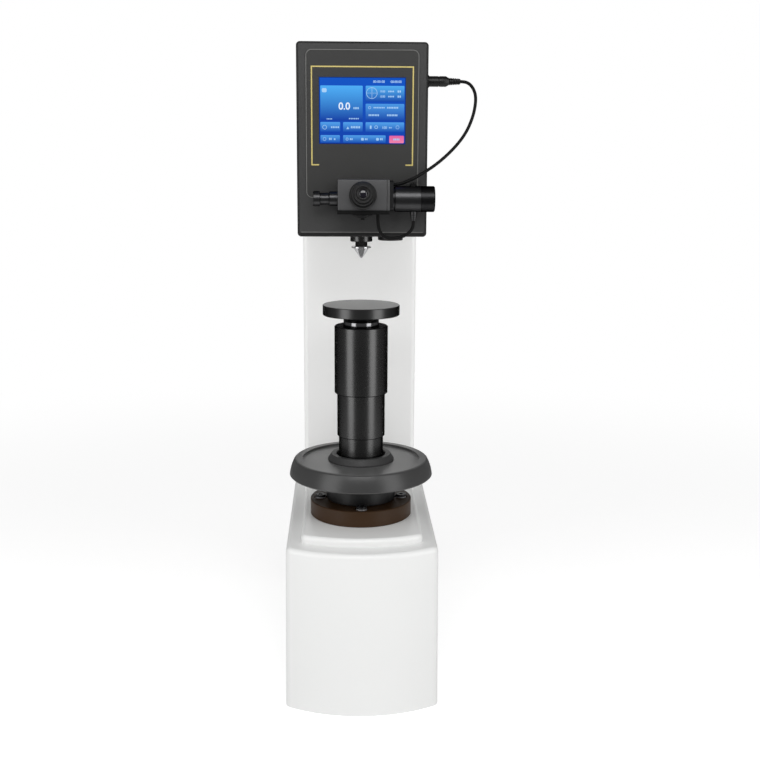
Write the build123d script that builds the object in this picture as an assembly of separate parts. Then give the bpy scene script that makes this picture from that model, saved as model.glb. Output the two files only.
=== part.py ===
from build123d import *
import os
from math import cos, pi, radians, sin, tan

# Bench hardness tester that presses a steel ball into a specimen on a screw-raised anvil.
# Lengths are in millimetres. X points to the operator's right, Y away from the operator, Z up.
# The origin lies on the indenter's axis, at the level of the base's foot.

# Clearances shared by every fit
running_gap = 0.08
seat_gap = 0.3
sleeve_gap = 0.6

# Lower casting
base_foot_width = 210.0
base_draft = 0.5
base_height = 229.0
base_front = 154.0
base_bulge = 31.0
base_corner_radius = 14.0
base_edge_radius = 7.0
base_wall = 12.0
base_floor = 14.0
base_roof = 15.0
pad_width = 166.0
pad_height = 11.0
pad_setback = 33.0
pad_corner_radius = 10.0
pad_edge_radius = 6.0
bench_hole_radius = 5.1
bench_hole_spacing_x = 150.0
bench_hole_spacing_y = 360.0
bench_hole_centre_y = 90.0

# Column and head
throat = 135.0
column_depth = 200.0
body_width = 170.0
body_wall = 10.0
body_edge_radius = 7.0
total_height = 890.0
head_height = 244.0
lid_thickness = 4.0
head_front = 20.0
head_tongue = 26.0
head_tongue_width = 150.0
flange_opening_margin = 25.0
frame_bolt_radius = 6.0
frame_bolt_head_radius = 9.0
frame_bolt_head_height = 12.0
frame_bolt_inset = 13.0

# Sheet-metal covers
rear_cover_width = 140.0
rear_cover_low = 262.0
rear_cover_drop = 22.0
rear_cover_thickness = 1.5
rear_window_margin = 14.0
vent_slot_width = 4.0
vent_slot_length = 70.0
vent_slot_pitch = 11.0
vent_slot_count = 6
vent_centre_height = 330.0
cover_screw_radius = 2.0
cover_screw_head_radius = 4.0
cover_screw_head_height = 2.4
cover_screw_length = 9.0
cover_screw_inset = 6.5
base_panel_width = 130.0
base_panel_low = 46.0
base_panel_high = 136.0
base_panel_thickness = 2.0

# Dark front cover and what it carries
front_cover_width = 171.0
front_cover_depth = 40.0
front_cover_drop = 5.5
front_cover_wall = 3.0
front_cover_corner = 5.0
front_cover_edge = 3.2
panel_width = 146.5
panel_height = 188.5
panel_drop = 10.0
panel_thickness = 1.2
panel_corner = 8.0
screen_width = 112.4
screen_height = 84.4
screen_drop = 86.8
screen_thickness = 2.6
module_margin = 4.0
module_depth = 11.0
board_width = 128.0
board_height = 150.0
board_thickness = 1.6
board_gap = 6.0
standoff_radius = 3.0

# Elevating gear, from the pad upwards
screw_radius = 25.0
screw_low = 112.0
keyway_width = 8.0
keyway_depth = 4.0
guide_wall = 9.0
guide_length = 60.0
flange_radius = 72.3
flange_height = 23.0
flange_chamfer = 1.0
seat_radius = 49.0
seat_height = 33.0
seat_wall = 5.5
seat_floor = 6.0
seat_foot_chamfer = 1.2
seat_bolt_circle = 58.0
seat_bolt_radius = 4.0
seat_bolt_head_radius = 7.4
seat_bolt_head_height = 8.0
seat_bolt_counterbore = 1.8
seat_bolt_sink = 4.0
seat_bolt_length = 34.0
seat_bolt_count = 4
race_thickness = 4.0
race_bore = 33.4
race_radius = 42.8
roller_radius = 3.4
roller_length = 6.0
roller_count = 12
nut_body_radius = 32.6
nut_body_drop = 26.0
nut_flange_radius = 42.0
nut_flange_height = 8.0

# Handwheel
wheel_gap = 1.2
wheel_height = 25.0
wheel_top_radius = 94.5
wheel_foot_radius = 102.0
wheel_rim_inner_radius = 91.5
wheel_recess_radius = 83.5
wheel_recess_depth = 3.0
wheel_web = 13.0
wheel_bulge = 1.6
wheel_edge = 2.0
hub_bore = 34.8
hub_ring_radius = 47.0
hub_ring_height = 9.5
hub_ring_slope = 5.0
wheel_screw_circle = 39.0
wheel_screw_radius = 2.0
wheel_screw_head_radius = 3.4
wheel_screw_head_height = 4.0

# Telescopic dust sleeves around the screw
neck_radius = 31.5
neck_wall = 4.0
neck_rise = 117.0
middle_wall = 1.7
middle_foot_rise = 59.0
middle_rise = 165.0
upper_radius = 37.5
upper_foot_rise = 121.0
upper_rise = 217.0
upper_cap = 3.0
usual_throat = 350.0
sleeve_chamfer = 1.2

# Anvil
spigot_radius = 20.0
collar_radius = 25.0
collar_height = 9.2
anvil_boss_radius = 27.0
anvil_boss_height = 6.0
anvil_boss_taper = 3.0
anvil_radius = 53.8
anvil_thickness = 14.2
anvil_edge = 0.8
anvil_stem_radius = 12.4
anvil_stem_length = 36.0

# Loading spindle and indenter
spindle_radius = 11.0
spindle_rise = 124.0
spindle_nose_radius = 7.0
spindle_collar_radius = 17.0
spindle_collar_rise = 88.0
spindle_collar_height = 6.0
bush_radius = 19.0
bush_flange_radius = 27.0
bush_flange_height = 6.0
bush_rise = 54.0
holder_radius = 15.2
holder_drop = 16.0
lock_nut_radius = 8.3
lock_nut_height = 6.0
tip_flange_radius = 13.7
tip_flange_height = 2.6
tip_cone_radius = 11.0
tip_cone_end_radius = 3.0
tip_cone_height = 12.4
ball_radius = 2.5
ball_showing = 1.8
spring_wire = 1.3
spring_turns = 4.0

# Loading lever
pivot_y = 28.0
pivot_rise = 144.0
pivot_radius = 8.0
lever_width = 28.0
lever_front_reach = 40.0
lever_front_height = 40.0
lever_tail_height = 28.0
lever_tail_reach = 20.0
cheek_thickness = 12.0
cheek_half_depth = 20.0
cheek_crown = 18.0
fulcrum_foot = 12.0

# Drive unit inside the column
drive_y = 235.0
motor_side = 86.0
motor_height = 96.0
motor_shaft_radius = 6.0
motor_shaft_length = 34.0
motor_shaft_sink = 12.0
shelf_level = 352.0
shelf_thickness = 12.0
shelf_spacing = 58.0
shelf_width = 110.0
shelf_depth = 100.0
bracket_wall = 10.0
coupling_radius = 16.0
coupling_gap = 4.0
drive_screw_radius = 8.0
drive_screw_drop = 93.0
bearing_radius = 20.0
drive_nut_width = 44.0
drive_nut_height = 30.0
drive_nut_level = 470.0
push_tube_radius = 16.0
push_tube_wall = 4.5
push_tube_rise = 89.0
cell_radius = 25.0
cell_height = 22.0
cell_button_radius = 9.0
cell_button_height = 7.0
guide_rod_radius = 6.0
guide_rod_offset = 42.0
guide_rod_length = 150.0
guide_arm_width = 24.0
power_box_width = 100.0
power_box_depth = 150.0
power_box_height = 50.0
power_box_y = 150.0

# Measuring microscope
objective_x = 40.0
objective_radius = 17.3
objective_drop = 14.0
objective_tube_radius = 12.0
prism_rise = 34.0
prism_height = 32.0
prism_left = 27.5
prism_nose_left = 12.0
prism_nose_depth = 18.0
prism_right = 56.0
prism_depth = 34.0
relay_x = 22.0
relay_radius = 8.0
eyepiece_left = 32.0
eyepiece_right = 34.5
eyepiece_rise = 31.0
eyepiece_height = 39.0
eyepiece_front = 105.0
eyepiece_back = 62.2
eyepiece_edge = 1.5
end_plate_thickness = 4.8
end_plate_inset = 1.5
shelf_plate_left = 33.0
shelf_plate_right = 34.4
shelf_plate_thickness = 4.6
shelf_plate_front = 107.0
shelf_plate_lip = 18.0
shelf_plate_lip_thickness = 1.8
clamp_knob_radius = 13.0
clamp_knob_foot_radius = 5.0
clamp_knob_height = 5.2
clamp_knob_y = 90.0
clamp_tip_radius = 2.6
clamp_tip_height = 2.2
ocular_rise = 50.0
ocular_tilt = 8.0
ocular_base_radius = 17.6
ocular_base_length = 7.0
ocular_barrel_radius = 11.5
ocular_barrel_length = 20.0
dioptre_ring_radius = 14.8
dioptre_ring_length = 12.0
ocular_lens_radius = 8.0
drum_y = 83.0
drum_rise = 45.3
drum_radius = 16.7
drum_collar_radius = 14.8
drum_collar_length = 6.5
drum_housing_length = 34.0
drum_knob_length = 18.6
drum_shaft_radius = 4.0
left_knob_radius = 9.7
left_knob_length = 9.5
left_neck_radius = 7.6
left_neck_length = 10.5
left_root_radius = 9.3
left_root_length = 12.0
button_x = 65.5
button_radius = 4.6
button_height = 3.0
button_stem_length = 4.0
relief_x = 66.5
relief_radius = 4.7
relief_end_radius = 3.4
relief_length = 11.0

# Lead between the measuring microscope and the display
lead_radius = 2.1
socket_drop = 48.0
socket_y = 40.0
socket_radius = 8.2
socket_height = 2.2
plug_radius = 6.8
plug_length = 22.0
plug_taper_length = 3.5
plug_relief_radius = 4.9
plug_relief_end_radius = 3.9
plug_relief_length = 15.6

# Mains inlet and switch on the base's back
inlet_x = -30.0
switch_x = 32.0
mains_level = 92.0
inlet_width = 27.6
inlet_height = 20.0
inlet_flange_width = 48.0
inlet_flange_height = 28.0
inlet_depth = 22.0
inlet_pin_length = 10.0
rocker_width = 12.0
rocker_height = 19.0
rocker_frame_width = 16.0
rocker_frame_height = 23.0
rocker_frame_depth = 14.0
rocker_proud = 3.0

# Levels and places that follow from the sizes above
pad_top = base_height + pad_height
head_underside = total_height - head_height
column_back = throat + column_depth
column_middle = throat + column_depth / 2
flange_top = pad_top + flange_height
seat_top = flange_top + seat_height
sleeve_scale = (head_underside - seat_top) / usual_throat
neck_top = seat_top + neck_rise * sleeve_scale
middle_low = seat_top + middle_foot_rise * sleeve_scale
middle_top = seat_top + middle_rise * sleeve_scale
upper_low = seat_top + upper_foot_rise * sleeve_scale
upper_top = seat_top + upper_rise * sleeve_scale
race_low = flange_top + seat_floor
roller_level = race_low + race_thickness + roller_radius + running_gap
upper_race_low = roller_level + roller_radius + running_gap
nut_flange_low = upper_race_low + race_thickness
nut_top = nut_flange_low + nut_flange_height
wheel_low = seat_top + wheel_gap
wheel_top = wheel_low + wheel_height
wheel_floor = wheel_top - wheel_recess_depth
middle_radius = upper_radius - 3.1 - sleeve_gap
shelf_top = shelf_level + shelf_thickness
bearing_low = shelf_level + shelf_spacing
head_floor = head_underside + body_wall
rear_cover_high = total_height - rear_cover_drop
panel_high = total_height - panel_drop
panel_low = panel_high - panel_height
screen_centre_height = total_height - screen_drop
socket_level = total_height - socket_drop
holder_low = head_underside - holder_drop
bush_top = head_underside + bush_rise
spindle_collar_level = head_underside + spindle_collar_rise
spindle_top = head_underside + spindle_rise
pivot_level = head_underside + pivot_rise
push_tube_top = head_underside + push_tube_rise
drive_screw_top = push_tube_top - drive_screw_drop
prism_low = head_underside + prism_rise
prism_high = prism_low + prism_height
eyepiece_low = head_underside + eyepiece_rise
eyepiece_high = eyepiece_low + eyepiece_height
ocular_level = head_underside + ocular_rise
drum_level = head_underside + drum_rise
cover_face = head_front + front_cover_depth
panel_face = cover_face + panel_thickness
collar_top = upper_top + collar_height
anvil_low = collar_top + anvil_boss_height
anvil_top = anvil_low + anvil_thickness
end_plate_right = eyepiece_right + end_plate_thickness
drum_left = eyepiece_right + drum_collar_length
drum_knob_left = drum_left + drum_housing_length
load_point = push_tube_top + cell_height + cell_button_height

lead_end = front_cover_width / 2 + socket_height + plug_length + plug_taper_length + plug_relief_length
lead_route = [
    (end_plate_right, -76.0, head_underside + 63.6),
    (47.5, -76.0, head_underside + 63.6),
    (57.8, -75.4, head_underside + 67.3),
    (73.5, -72.4, head_underside + 74.6),
    (98.5, -66.5, head_underside + 90.5),
    (121.0, -58.0, head_underside + 110.5),
    (137.0, -50.5, head_underside + 130.5),
    (146.3, -44.5, head_underside + 152.0),
    (149.5, -41.3, head_underside + 168.5),
    (149.3, -40.2, head_underside + 179.6),
    (145.8, -socket_y, head_underside + 188.0),
    (140.9, -socket_y, head_underside + 193.4),
    (134.8, -socket_y, socket_level),
    (lead_end, -socket_y, socket_level),
]
short_lead_route = [
    (relief_x, -drum_y, drum_level - drum_radius - relief_length),
    (relief_x, -drum_y, head_underside + 10.5),
    (63.0, -83.2, head_underside + 3.4),
    (55.9, -83.5, head_underside - 2.2),
    (45.3, -83.8, head_underside - 5.2),
    (33.3, -84.0, head_underside - 5.6),
    (26.2, -84.0, head_underside - 1.9),
    (21.5, -84.0, head_underside + 5.2),
    (20.0, -84.0, head_underside + 15.8),
    (20.0, -84.0, eyepiece_low - shelf_plate_thickness),
]


def block(x0, x1, y0, y1, z0, z1):
    """Box between two corners."""
    return Pos((x0 + x1) / 2, (y0 + y1) / 2, (z0 + z1) / 2) * Box(x1 - x0, y1 - y0, z1 - z0)


def rod(radius, z0, z1, x=0.0, y=0.0):
    """Upright cylinder between two levels."""
    return Pos(x, y, z0) * Cylinder(radius, z1 - z0, align=(Align.CENTER, Align.CENTER, Align.MIN))


def tube(outer, inner, z0, z1, x=0.0, y=0.0):
    """Upright tube between two levels."""
    return rod(outer, z0, z1, x, y) - rod(inner, z0 - 1, z1 + 1, x, y)


def turned(points):
    """Body of revolution about Z from (radius, level) points."""
    return revolve(Plane.XZ * make_face(Polyline(*points, close=True)), Axis.Z)


def across(shape, x, y, z):
    """Turn an upright shape so that its Z axis points along +X, then place it."""
    return Pos(x, y, z) * Rot(0, 90, 0) * shape


def rounded_plate(width, low, high, back_y, thickness, corner):
    """Upright plate facing the operator, from back_y forwards."""
    outline = RectangleRounded(width, high - low, corner)
    return Pos(0, back_y, (low + high) / 2) * extrude(Plane.XZ * outline, thickness)


def around(count, start=0.0):
    """Angles in degrees of an even circle of copies."""
    return [start + 360.0 * k / count for k in range(count)]


def on_circle(radius, degrees):
    """X and Y of a point on a circle about the screw's axis."""
    return radius * cos(radians(degrees)), radius * sin(radians(degrees))


def front_outline(half_width, corner_y, bulge, back_y):
    """Plan with a bowed front, straight sides and a flat back."""
    bow = ThreePointArc((-half_width, -corner_y), (0, -(corner_y + bulge)), (half_width, -corner_y))
    sides = Polyline(
        (half_width, -corner_y), (half_width, back_y), (-half_width, back_y), (-half_width, -corner_y)
    )
    return make_face([bow, sides])


def frame_bolt_places():
    """Corners of the column's foot where bolts hold it to the base and the head."""
    half = body_width / 2 - body_wall - frame_bolt_inset
    depth = column_depth / 2 - body_wall - frame_bolt_inset
    return [(sx * half, column_middle + sy * depth) for sx in (-1, 1) for sy in (-1, 1)]


def base_casting():
    """Hollow casting with a bowed front, a raised pad under the screw and an open back."""
    half = base_foot_width / 2
    corner_y = base_front - base_bulge
    spare = 2 * base_wall
    outline = front_outline(half, corner_y, base_bulge, column_back + spare)
    outline = fillet(outline.vertices().sort_by(Axis.Y)[:2], base_corner_radius)
    body = extrude(outline, base_height, taper=base_draft)
    body -= block(-half - 1, half + 1, column_back, column_back + 2 * spare, -1, base_height + 1)
    top_edges = body.edges().group_by(Axis.Z)[-1]
    body = fillet(top_edges.filter_by(lambda e: e.center().Y < column_back - 1), base_edge_radius)
    pad_half = pad_width / 2
    pad_bulge = base_bulge * (pad_half / half) ** 2
    pad_corner_y = base_front - pad_setback - pad_bulge
    pad = front_outline(pad_half, pad_corner_y, pad_bulge, throat)
    pad = fillet(pad.vertices().sort_by(Axis.Y)[:2], pad_corner_radius)
    pad = Pos(0, 0, base_height - base_roof / 2) * extrude(pad, pad_height + base_roof / 2)
    front_and_sides = pad.edges().group_by(Axis.Z)[-1].filter_by(lambda e: e.center().Y < throat - 1)
    body += fillet(front_and_sides, pad_edge_radius)
    cavity = front_outline(half - base_wall - 2, corner_y - base_wall, base_bulge, column_back - base_wall)
    body -= Pos(0, 0, base_floor) * extrude(cavity, base_height - base_roof - base_floor)
    guide_outer = screw_radius + guide_wall
    body += rod(guide_outer + base_wall, pad_top - guide_length, base_height - base_roof + 1)
    body -= rod(guide_outer, pad_top - guide_length - 1, pad_top + 1)
    opening_x = body_width / 2 - body_wall - flange_opening_margin
    opening_y = column_depth / 2 - body_wall - flange_opening_margin
    body -= block(-opening_x, opening_x, column_middle - opening_y, column_middle + opening_y,
                  base_height - base_roof - 1, base_height + 1)
    window = base_panel_width / 2 - rear_window_margin
    body -= block(-window, window, column_back - base_wall - 1, column_back + 1,
                  base_panel_low + rear_window_margin, base_panel_high - rear_window_margin)
    for x, y in frame_bolt_places():
        body -= rod(frame_bolt_radius, base_height - base_roof - 1, base_height + 1, x, y)
    for angle in around(seat_bolt_count):
        x, y = on_circle(seat_bolt_circle, angle)
        body -= rod(seat_bolt_radius, base_height - base_roof - 1, pad_top + 1, x, y)
    for sx in (-1, 1):
        for sy in (-1, 1):
            body -= rod(bench_hole_radius, -1, base_floor + 1, sx * bench_hole_spacing_x / 2,
                        bench_hole_centre_y + sy * bench_hole_spacing_y / 2)
    for x, z in panel_screw_places():
        body -= screw_hole_in_back(x, z)
    return body


def panel_screw_places():
    """Corners of the base's rear panel."""
    half = base_panel_width / 2 - cover_screw_inset
    return [(sx * half, z) for sx in (-1, 1)
            for z in (base_panel_low + cover_screw_inset, base_panel_high - cover_screw_inset)]


def rear_screw_places():
    """Four screws down each side of the rear cover."""
    half = rear_cover_width / 2 - cover_screw_inset
    low = rear_cover_low + cover_screw_inset
    rise = rear_cover_high - cover_screw_inset - low
    return [(sx * half, low + rise * k / 3) for sx in (-1, 1) for k in range(4)]


def lid_screw_places():
    """Corners of the lid, over the head's walls."""
    half = body_width / 2 - body_wall / 2
    back = column_back - body_wall / 2
    front = -head_front + 3 * body_wall
    return [(sx * half, y) for sx in (-1, 1) for y in (front, back)]


def screw_hole_in_back(x, z):
    """Hole for a cover screw, drilled into the machine's back face."""
    drill = Cylinder(cover_screw_radius, cover_screw_length, align=(Align.CENTER, Align.CENTER, Align.MIN))
    return Pos(x, column_back + 0.001, z) * Rot(90, 0, 0) * drill


def column_casting():
    """Square column with a bolted foot and a window for the rear cover."""
    half = body_width / 2
    body = block(-half, half, throat, column_back, base_height, head_underside)
    body = fillet(body.edges().filter_by(Axis.Z), body_edge_radius)
    body -= block(-half + body_wall, half - body_wall, throat + body_wall, column_back - body_wall,
                  base_height + body_wall, head_underside + 1)
    opening_x = half - body_wall - flange_opening_margin
    opening_y = column_depth / 2 - body_wall - flange_opening_margin
    body -= block(-opening_x, opening_x, column_middle - opening_y, column_middle + opening_y,
                  base_height - 1, base_height + body_wall + 1)
    window = rear_cover_width / 2 - rear_window_margin
    body -= block(-window, window, column_back - body_wall - 1, column_back + 1,
                  rear_cover_low + rear_window_margin, head_underside - body_wall)
    for x, y in frame_bolt_places():
        body -= rod(frame_bolt_radius, base_height - 1, base_height + body_wall + 1, x, y)
    for x, z in rear_screw_places():
        if z < head_underside:
            body -= screw_hole_in_back(x, z)
    return body


def head_casting():
    """Arm that overhangs the anvil, open in front and on top, with bores for the spindle and objective."""
    half = body_width / 2
    top = total_height - lid_thickness
    body = block(-half, half, -head_front, column_back, head_underside, top)
    back_corners = body.edges().filter_by(Axis.Z).sort_by(Axis.Y)[2:]
    body = fillet(back_corners, body_edge_radius)
    body -= block(-half + body_wall, half - body_wall, -head_front - 1, column_back - body_wall,
                  head_floor, top + 1)
    opening_x = half - body_wall - flange_opening_margin
    body -= block(-opening_x, opening_x, throat + body_wall, column_back - body_wall,
                  head_underside - 1, head_floor + 1)
    window = rear_cover_width / 2 - rear_window_margin
    body -= block(-window, window, column_back - body_wall - 1, column_back + 1,
                  head_floor, rear_cover_high - rear_window_margin)
    body += block(-head_tongue_width / 2, head_tongue_width / 2, -head_front - head_tongue, -head_front,
                  head_underside, head_floor)
    body -= rod(bush_radius, head_underside - 1, head_floor + 1)
    body -= rod(objective_tube_radius, head_underside - 1, head_floor + 1, objective_x)
    for x, z in rear_screw_places():
        if z > head_underside:
            body -= screw_hole_in_back(x, z)
    for x, y in lid_screw_places():
        body -= rod(cover_screw_radius, top - cover_screw_length, top + 1, x, y)
    return body


def frame_bolts():
    """Four bolts that hold the column's foot down on the base."""
    bolts = []
    for x, y in frame_bolt_places():
        seat = base_height + body_wall
        shank = rod(frame_bolt_radius - running_gap, base_height - base_roof, seat, x, y)
        head = rod(frame_bolt_head_radius, seat, seat + frame_bolt_head_height, x, y)
        socket = Pos(x, y, seat + frame_bolt_head_height / 2) * extrude(
            RegularPolygon(frame_bolt_radius, 6), frame_bolt_head_height)
        bolts.append(shank + head - socket)
    return Compound(bolts)


def lid():
    """Plate that closes the head's top."""
    half = body_width / 2
    plate = block(-half, half, -head_front, column_back, total_height - lid_thickness, total_height)
    plate = fillet(plate.edges().filter_by(Axis.Z).sort_by(Axis.Y)[2:], body_edge_radius)
    plate = fillet(plate.edges().group_by(Axis.Z)[-1].filter_by(
        lambda e: e.center().Y > 1 - head_front), lid_thickness / 2)
    for x, y in lid_screw_places():
        plate -= rod(cover_screw_radius + running_gap, 0, total_height + 1, x, y)
        plate -= rod(cover_screw_head_radius + running_gap, total_height - cover_screw_head_height,
                     total_height + 1, x, y)
    return plate


def rear_cover():
    """Screwed plate over the column and head, with a row of vent slots."""
    plate = rounded_plate(rear_cover_width, rear_cover_low, rear_cover_high,
                          column_back + rear_cover_thickness, rear_cover_thickness, cover_screw_inset)
    first = vent_centre_height - vent_slot_pitch * (vent_slot_count - 1) / 2
    for k in range(vent_slot_count):
        slot = Plane.XZ * SlotOverall(vent_slot_length, vent_slot_width)
        plate -= Pos(0, column_back + rear_cover_thickness + 1, first + k * vent_slot_pitch) * extrude(
            slot, rear_cover_thickness + 2)
    for x, z in rear_screw_places():
        plate -= through_back_plate(cover_screw_radius + running_gap, x, z)
    return plate


def through_back_plate(radius, x, z):
    """Round cutter through a plate on the machine's back."""
    return Pos(x, column_back + 10, z) * Rot(90, 0, 0) * Cylinder(
        radius, 20, align=(Align.CENTER, Align.CENTER, Align.MIN))


def base_panel():
    """Panel on the base's back that holds the mains inlet and the switch."""
    plate = rounded_plate(base_panel_width, base_panel_low, base_panel_high,
                          column_back + base_panel_thickness, base_panel_thickness, cover_screw_inset)
    for x, width, height in (
        (inlet_x, inlet_width, inlet_height),
        (switch_x, rocker_frame_width, rocker_frame_height),
    ):
        plate -= block(x - width / 2 - running_gap, x + width / 2 + running_gap, column_back - 1,
                       column_back + base_panel_thickness + 1,
                       mains_level - height / 2 - running_gap, mains_level + height / 2 + running_gap)
    for x, z in panel_screw_places():
        plate -= through_back_plate(cover_screw_radius + running_gap, x, z)
    return plate


def back_screw(x, z, plate_thickness):
    """Pan-head screw whose head lies on a plate on the machine's back."""
    outer = column_back + plate_thickness
    shank = Cylinder(cover_screw_radius - running_gap, cover_screw_length - 1 + plate_thickness,
                     align=(Align.CENTER, Align.CENTER, Align.MIN))
    head = Cylinder(cover_screw_head_radius, cover_screw_head_height,
                    align=(Align.CENTER, Align.CENTER, Align.MAX))
    head = fillet(head.edges().group_by(Axis.Z)[0], cover_screw_head_height / 3)
    return Pos(x, outer, z) * Rot(90, 0, 0) * (shank + head)


def cover_screws():
    """Screws of the rear cover, the base's panel and the lid."""
    screws = [back_screw(x, z, rear_cover_thickness) for x, z in rear_screw_places()]
    screws += [back_screw(x, z, base_panel_thickness) for x, z in panel_screw_places()]
    for x, y in lid_screw_places():
        low = total_height - lid_thickness - cover_screw_length + 1
        seat = total_height - cover_screw_head_height
        shank = rod(cover_screw_radius - running_gap, low, seat, x, y)
        screws.append(shank + rod(cover_screw_head_radius, seat, total_height - 0.2, x, y))
    return Compound(screws)


def front_cover():
    """Shallow dark shell over the head's front, with openings for the screen, optics and socket."""
    low = head_underside - front_cover_drop
    half = front_cover_width / 2
    body = block(-half, half, -cover_face, -head_front, low, total_height)
    body = fillet(body.edges().filter_by(Axis.Y), front_cover_corner)
    body = fillet(body.edges().group_by(Axis.Y)[0], front_cover_edge)
    body -= block(-half + front_cover_wall, half - front_cover_wall, -cover_face + front_cover_wall,
                  -head_front + 1, low + front_cover_wall, total_height - front_cover_wall)
    body -= screen_opening(-cover_face - 1, -cover_face + front_cover_wall + 1)
    body -= relay_cutter(relay_radius + running_gap)
    body -= across(Cylinder(plug_radius - 2, 20), half, -socket_y, socket_level)
    return body


def screen_opening(front_y, back_y):
    """Window for the touch screen, with an even gap round the glass."""
    half = screen_width / 2 + seat_gap / 2
    rise = screen_height / 2 + seat_gap / 2
    return block(-half, half, front_y, back_y, screen_centre_height - rise, screen_centre_height + rise)


def relay_cutter(radius):
    """Hole through the cover and its panel for the microscope's relay tube."""
    drill = Cylinder(radius, cover_face, align=(Align.CENTER, Align.CENTER, Align.MIN))
    return Pos(relay_x, -head_front, ocular_level) * Rot(90, 0, 0) * drill


def display_panel():
    """Raised panel with rounded corners that frames the touch screen."""
    plate = rounded_plate(panel_width, panel_low, panel_high, -cover_face, panel_thickness, panel_corner)
    front = plate.edges().group_by(Axis.Y)[0]
    plate = chamfer(front, panel_thickness / 2)
    plate -= screen_opening(-panel_face - 1, -cover_face + 1)
    return plate - relay_cutter(relay_radius + running_gap)


def touch_glass():
    """Cover glass of the screen, a little behind the panel's face."""
    front = panel_face - seat_gap
    return block(-screen_width / 2, screen_width / 2, -front, -front + screen_thickness,
                 screen_centre_height - screen_height / 2, screen_centre_height + screen_height / 2)


def display_module():
    """Liquid-crystal module behind the cover glass."""
    front = -(cover_face - front_cover_wall)
    glass_back = -(panel_face - seat_gap) + screen_thickness
    half = screen_width / 2
    rise = screen_height / 2
    face = block(-half, half, glass_back, front, screen_centre_height - rise, screen_centre_height + rise)
    case = block(-half - module_margin, half + module_margin, front, front + module_depth,
                 screen_centre_height - rise - module_margin, screen_centre_height + rise + module_margin)
    return face + case


def control_board():
    """Circuit board on four standoffs behind the screen."""
    module_back = -(cover_face - front_cover_wall) + module_depth
    front = module_back + board_gap
    low = screen_centre_height - board_height / 2
    board = block(-board_width / 2, board_width / 2, front, front + board_thickness,
                  low, low + board_height)
    for sx in (-1, 1):
        for sz in (-1, 1):
            post = Cylinder(standoff_radius, board_gap, align=(Align.CENTER, Align.CENTER, Align.MIN))
            board += Pos(sx * screen_width / 2, front, screen_centre_height + sz * screen_height / 2
                         ) * Rot(90, 0, 0) * post
    for sx in (-1, 1):
        board += block(sx * board_width / 4 - 12, sx * board_width / 4 + 12, front + board_thickness,
                       front + board_thickness + 3, screen_centre_height - 12, screen_centre_height + 12)
    return board


def screw_guide():
    """Bush in the base's pad that guides the elevating screw, with the key that keeps it from turning."""
    outer = screw_radius + guide_wall
    body = tube(outer, screw_radius + running_gap, pad_top - guide_length, pad_top)
    half = keyway_width / 2 - running_gap
    low = pad_top - guide_length + guide_length / 3
    return body + block(-half, half, screw_radius - keyway_depth + seat_gap, screw_radius + guide_wall / 2,
                        low, low + guide_length / 3)


def seat_flange():
    """Brown mounting ring on the pad, with counterbores for its bolts."""
    c = flange_chamfer
    inner = nut_body_radius + seat_gap
    ring = turned([
        (inner, pad_top), (flange_radius - c, pad_top), (flange_radius, pad_top + c),
        (flange_radius, flange_top - c), (flange_radius - c, flange_top), (inner, flange_top),
    ])
    for angle in around(seat_bolt_count):
        x, y = on_circle(seat_bolt_circle, angle)
        ring -= rod(seat_bolt_radius, pad_top - 1, flange_top + 1, x, y)
        ring -= rod(seat_bolt_head_radius + seat_bolt_counterbore, flange_top - seat_bolt_sink,
                    flange_top + 1, x, y)
    return ring


def seat_bolts():
    """Socket-head bolts round the bearing seat."""
    bolts = []
    for angle in around(seat_bolt_count):
        x, y = on_circle(seat_bolt_circle, angle)
        low = flange_top - seat_bolt_sink
        top = low + seat_bolt_head_height
        head = rod(seat_bolt_head_radius, low, top, x, y)
        head = fillet(head.edges().group_by(Axis.Z)[-1], 0.8)
        socket = Pos(x, y, top - seat_bolt_head_height / 2) * extrude(
            RegularPolygon(seat_bolt_radius * 0.85, 6), seat_bolt_head_height)
        shank = rod(seat_bolt_radius - running_gap, low - seat_bolt_length, low, x, y)
        bolts.append(head - socket + shank)
    return Compound(bolts)


def bearing_seat():
    """Black cup on the flange that holds the thrust bearing."""
    return turned([
        (nut_body_radius + seat_gap, flange_top),
        (seat_radius - seat_foot_chamfer, flange_top),
        (seat_radius, flange_top + seat_foot_chamfer),
        (seat_radius, seat_top),
        (seat_radius - seat_wall, seat_top),
        (seat_radius - seat_wall, race_low),
        (nut_body_radius + seat_gap, race_low),
    ])


def lower_race():
    """Fixed washer of the thrust bearing."""
    return tube(race_radius, race_bore, race_low, race_low + race_thickness)


def thrust_rollers():
    """Ring of short rollers between the two washers."""
    middle = (race_bore + race_radius) / 2
    roller = Cylinder(roller_radius, roller_length)
    return Compound([
        Rot(0, 0, angle) * across(roller, middle, 0, roller_level) for angle in around(roller_count)
    ])


def upper_race():
    """Washer that turns with the nut."""
    return tube(race_radius, race_bore, upper_race_low, nut_flange_low)


def elevating_nut():
    """Flanged bronze nut that carries the screw and the wheel."""
    bore = screw_radius + running_gap
    nut = turned([
        (bore, nut_flange_low - nut_body_drop),
        (nut_body_radius, nut_flange_low - nut_body_drop),
        (nut_body_radius, nut_flange_low),
        (nut_flange_radius, nut_flange_low),
        (nut_flange_radius, nut_top),
        (bore, nut_top),
    ])
    for angle in around(4, 45):
        x, y = on_circle(wheel_screw_circle, angle)
        nut -= rod(wheel_screw_radius, nut_flange_low - 1, nut_top + 1, x, y)
    return nut


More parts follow.
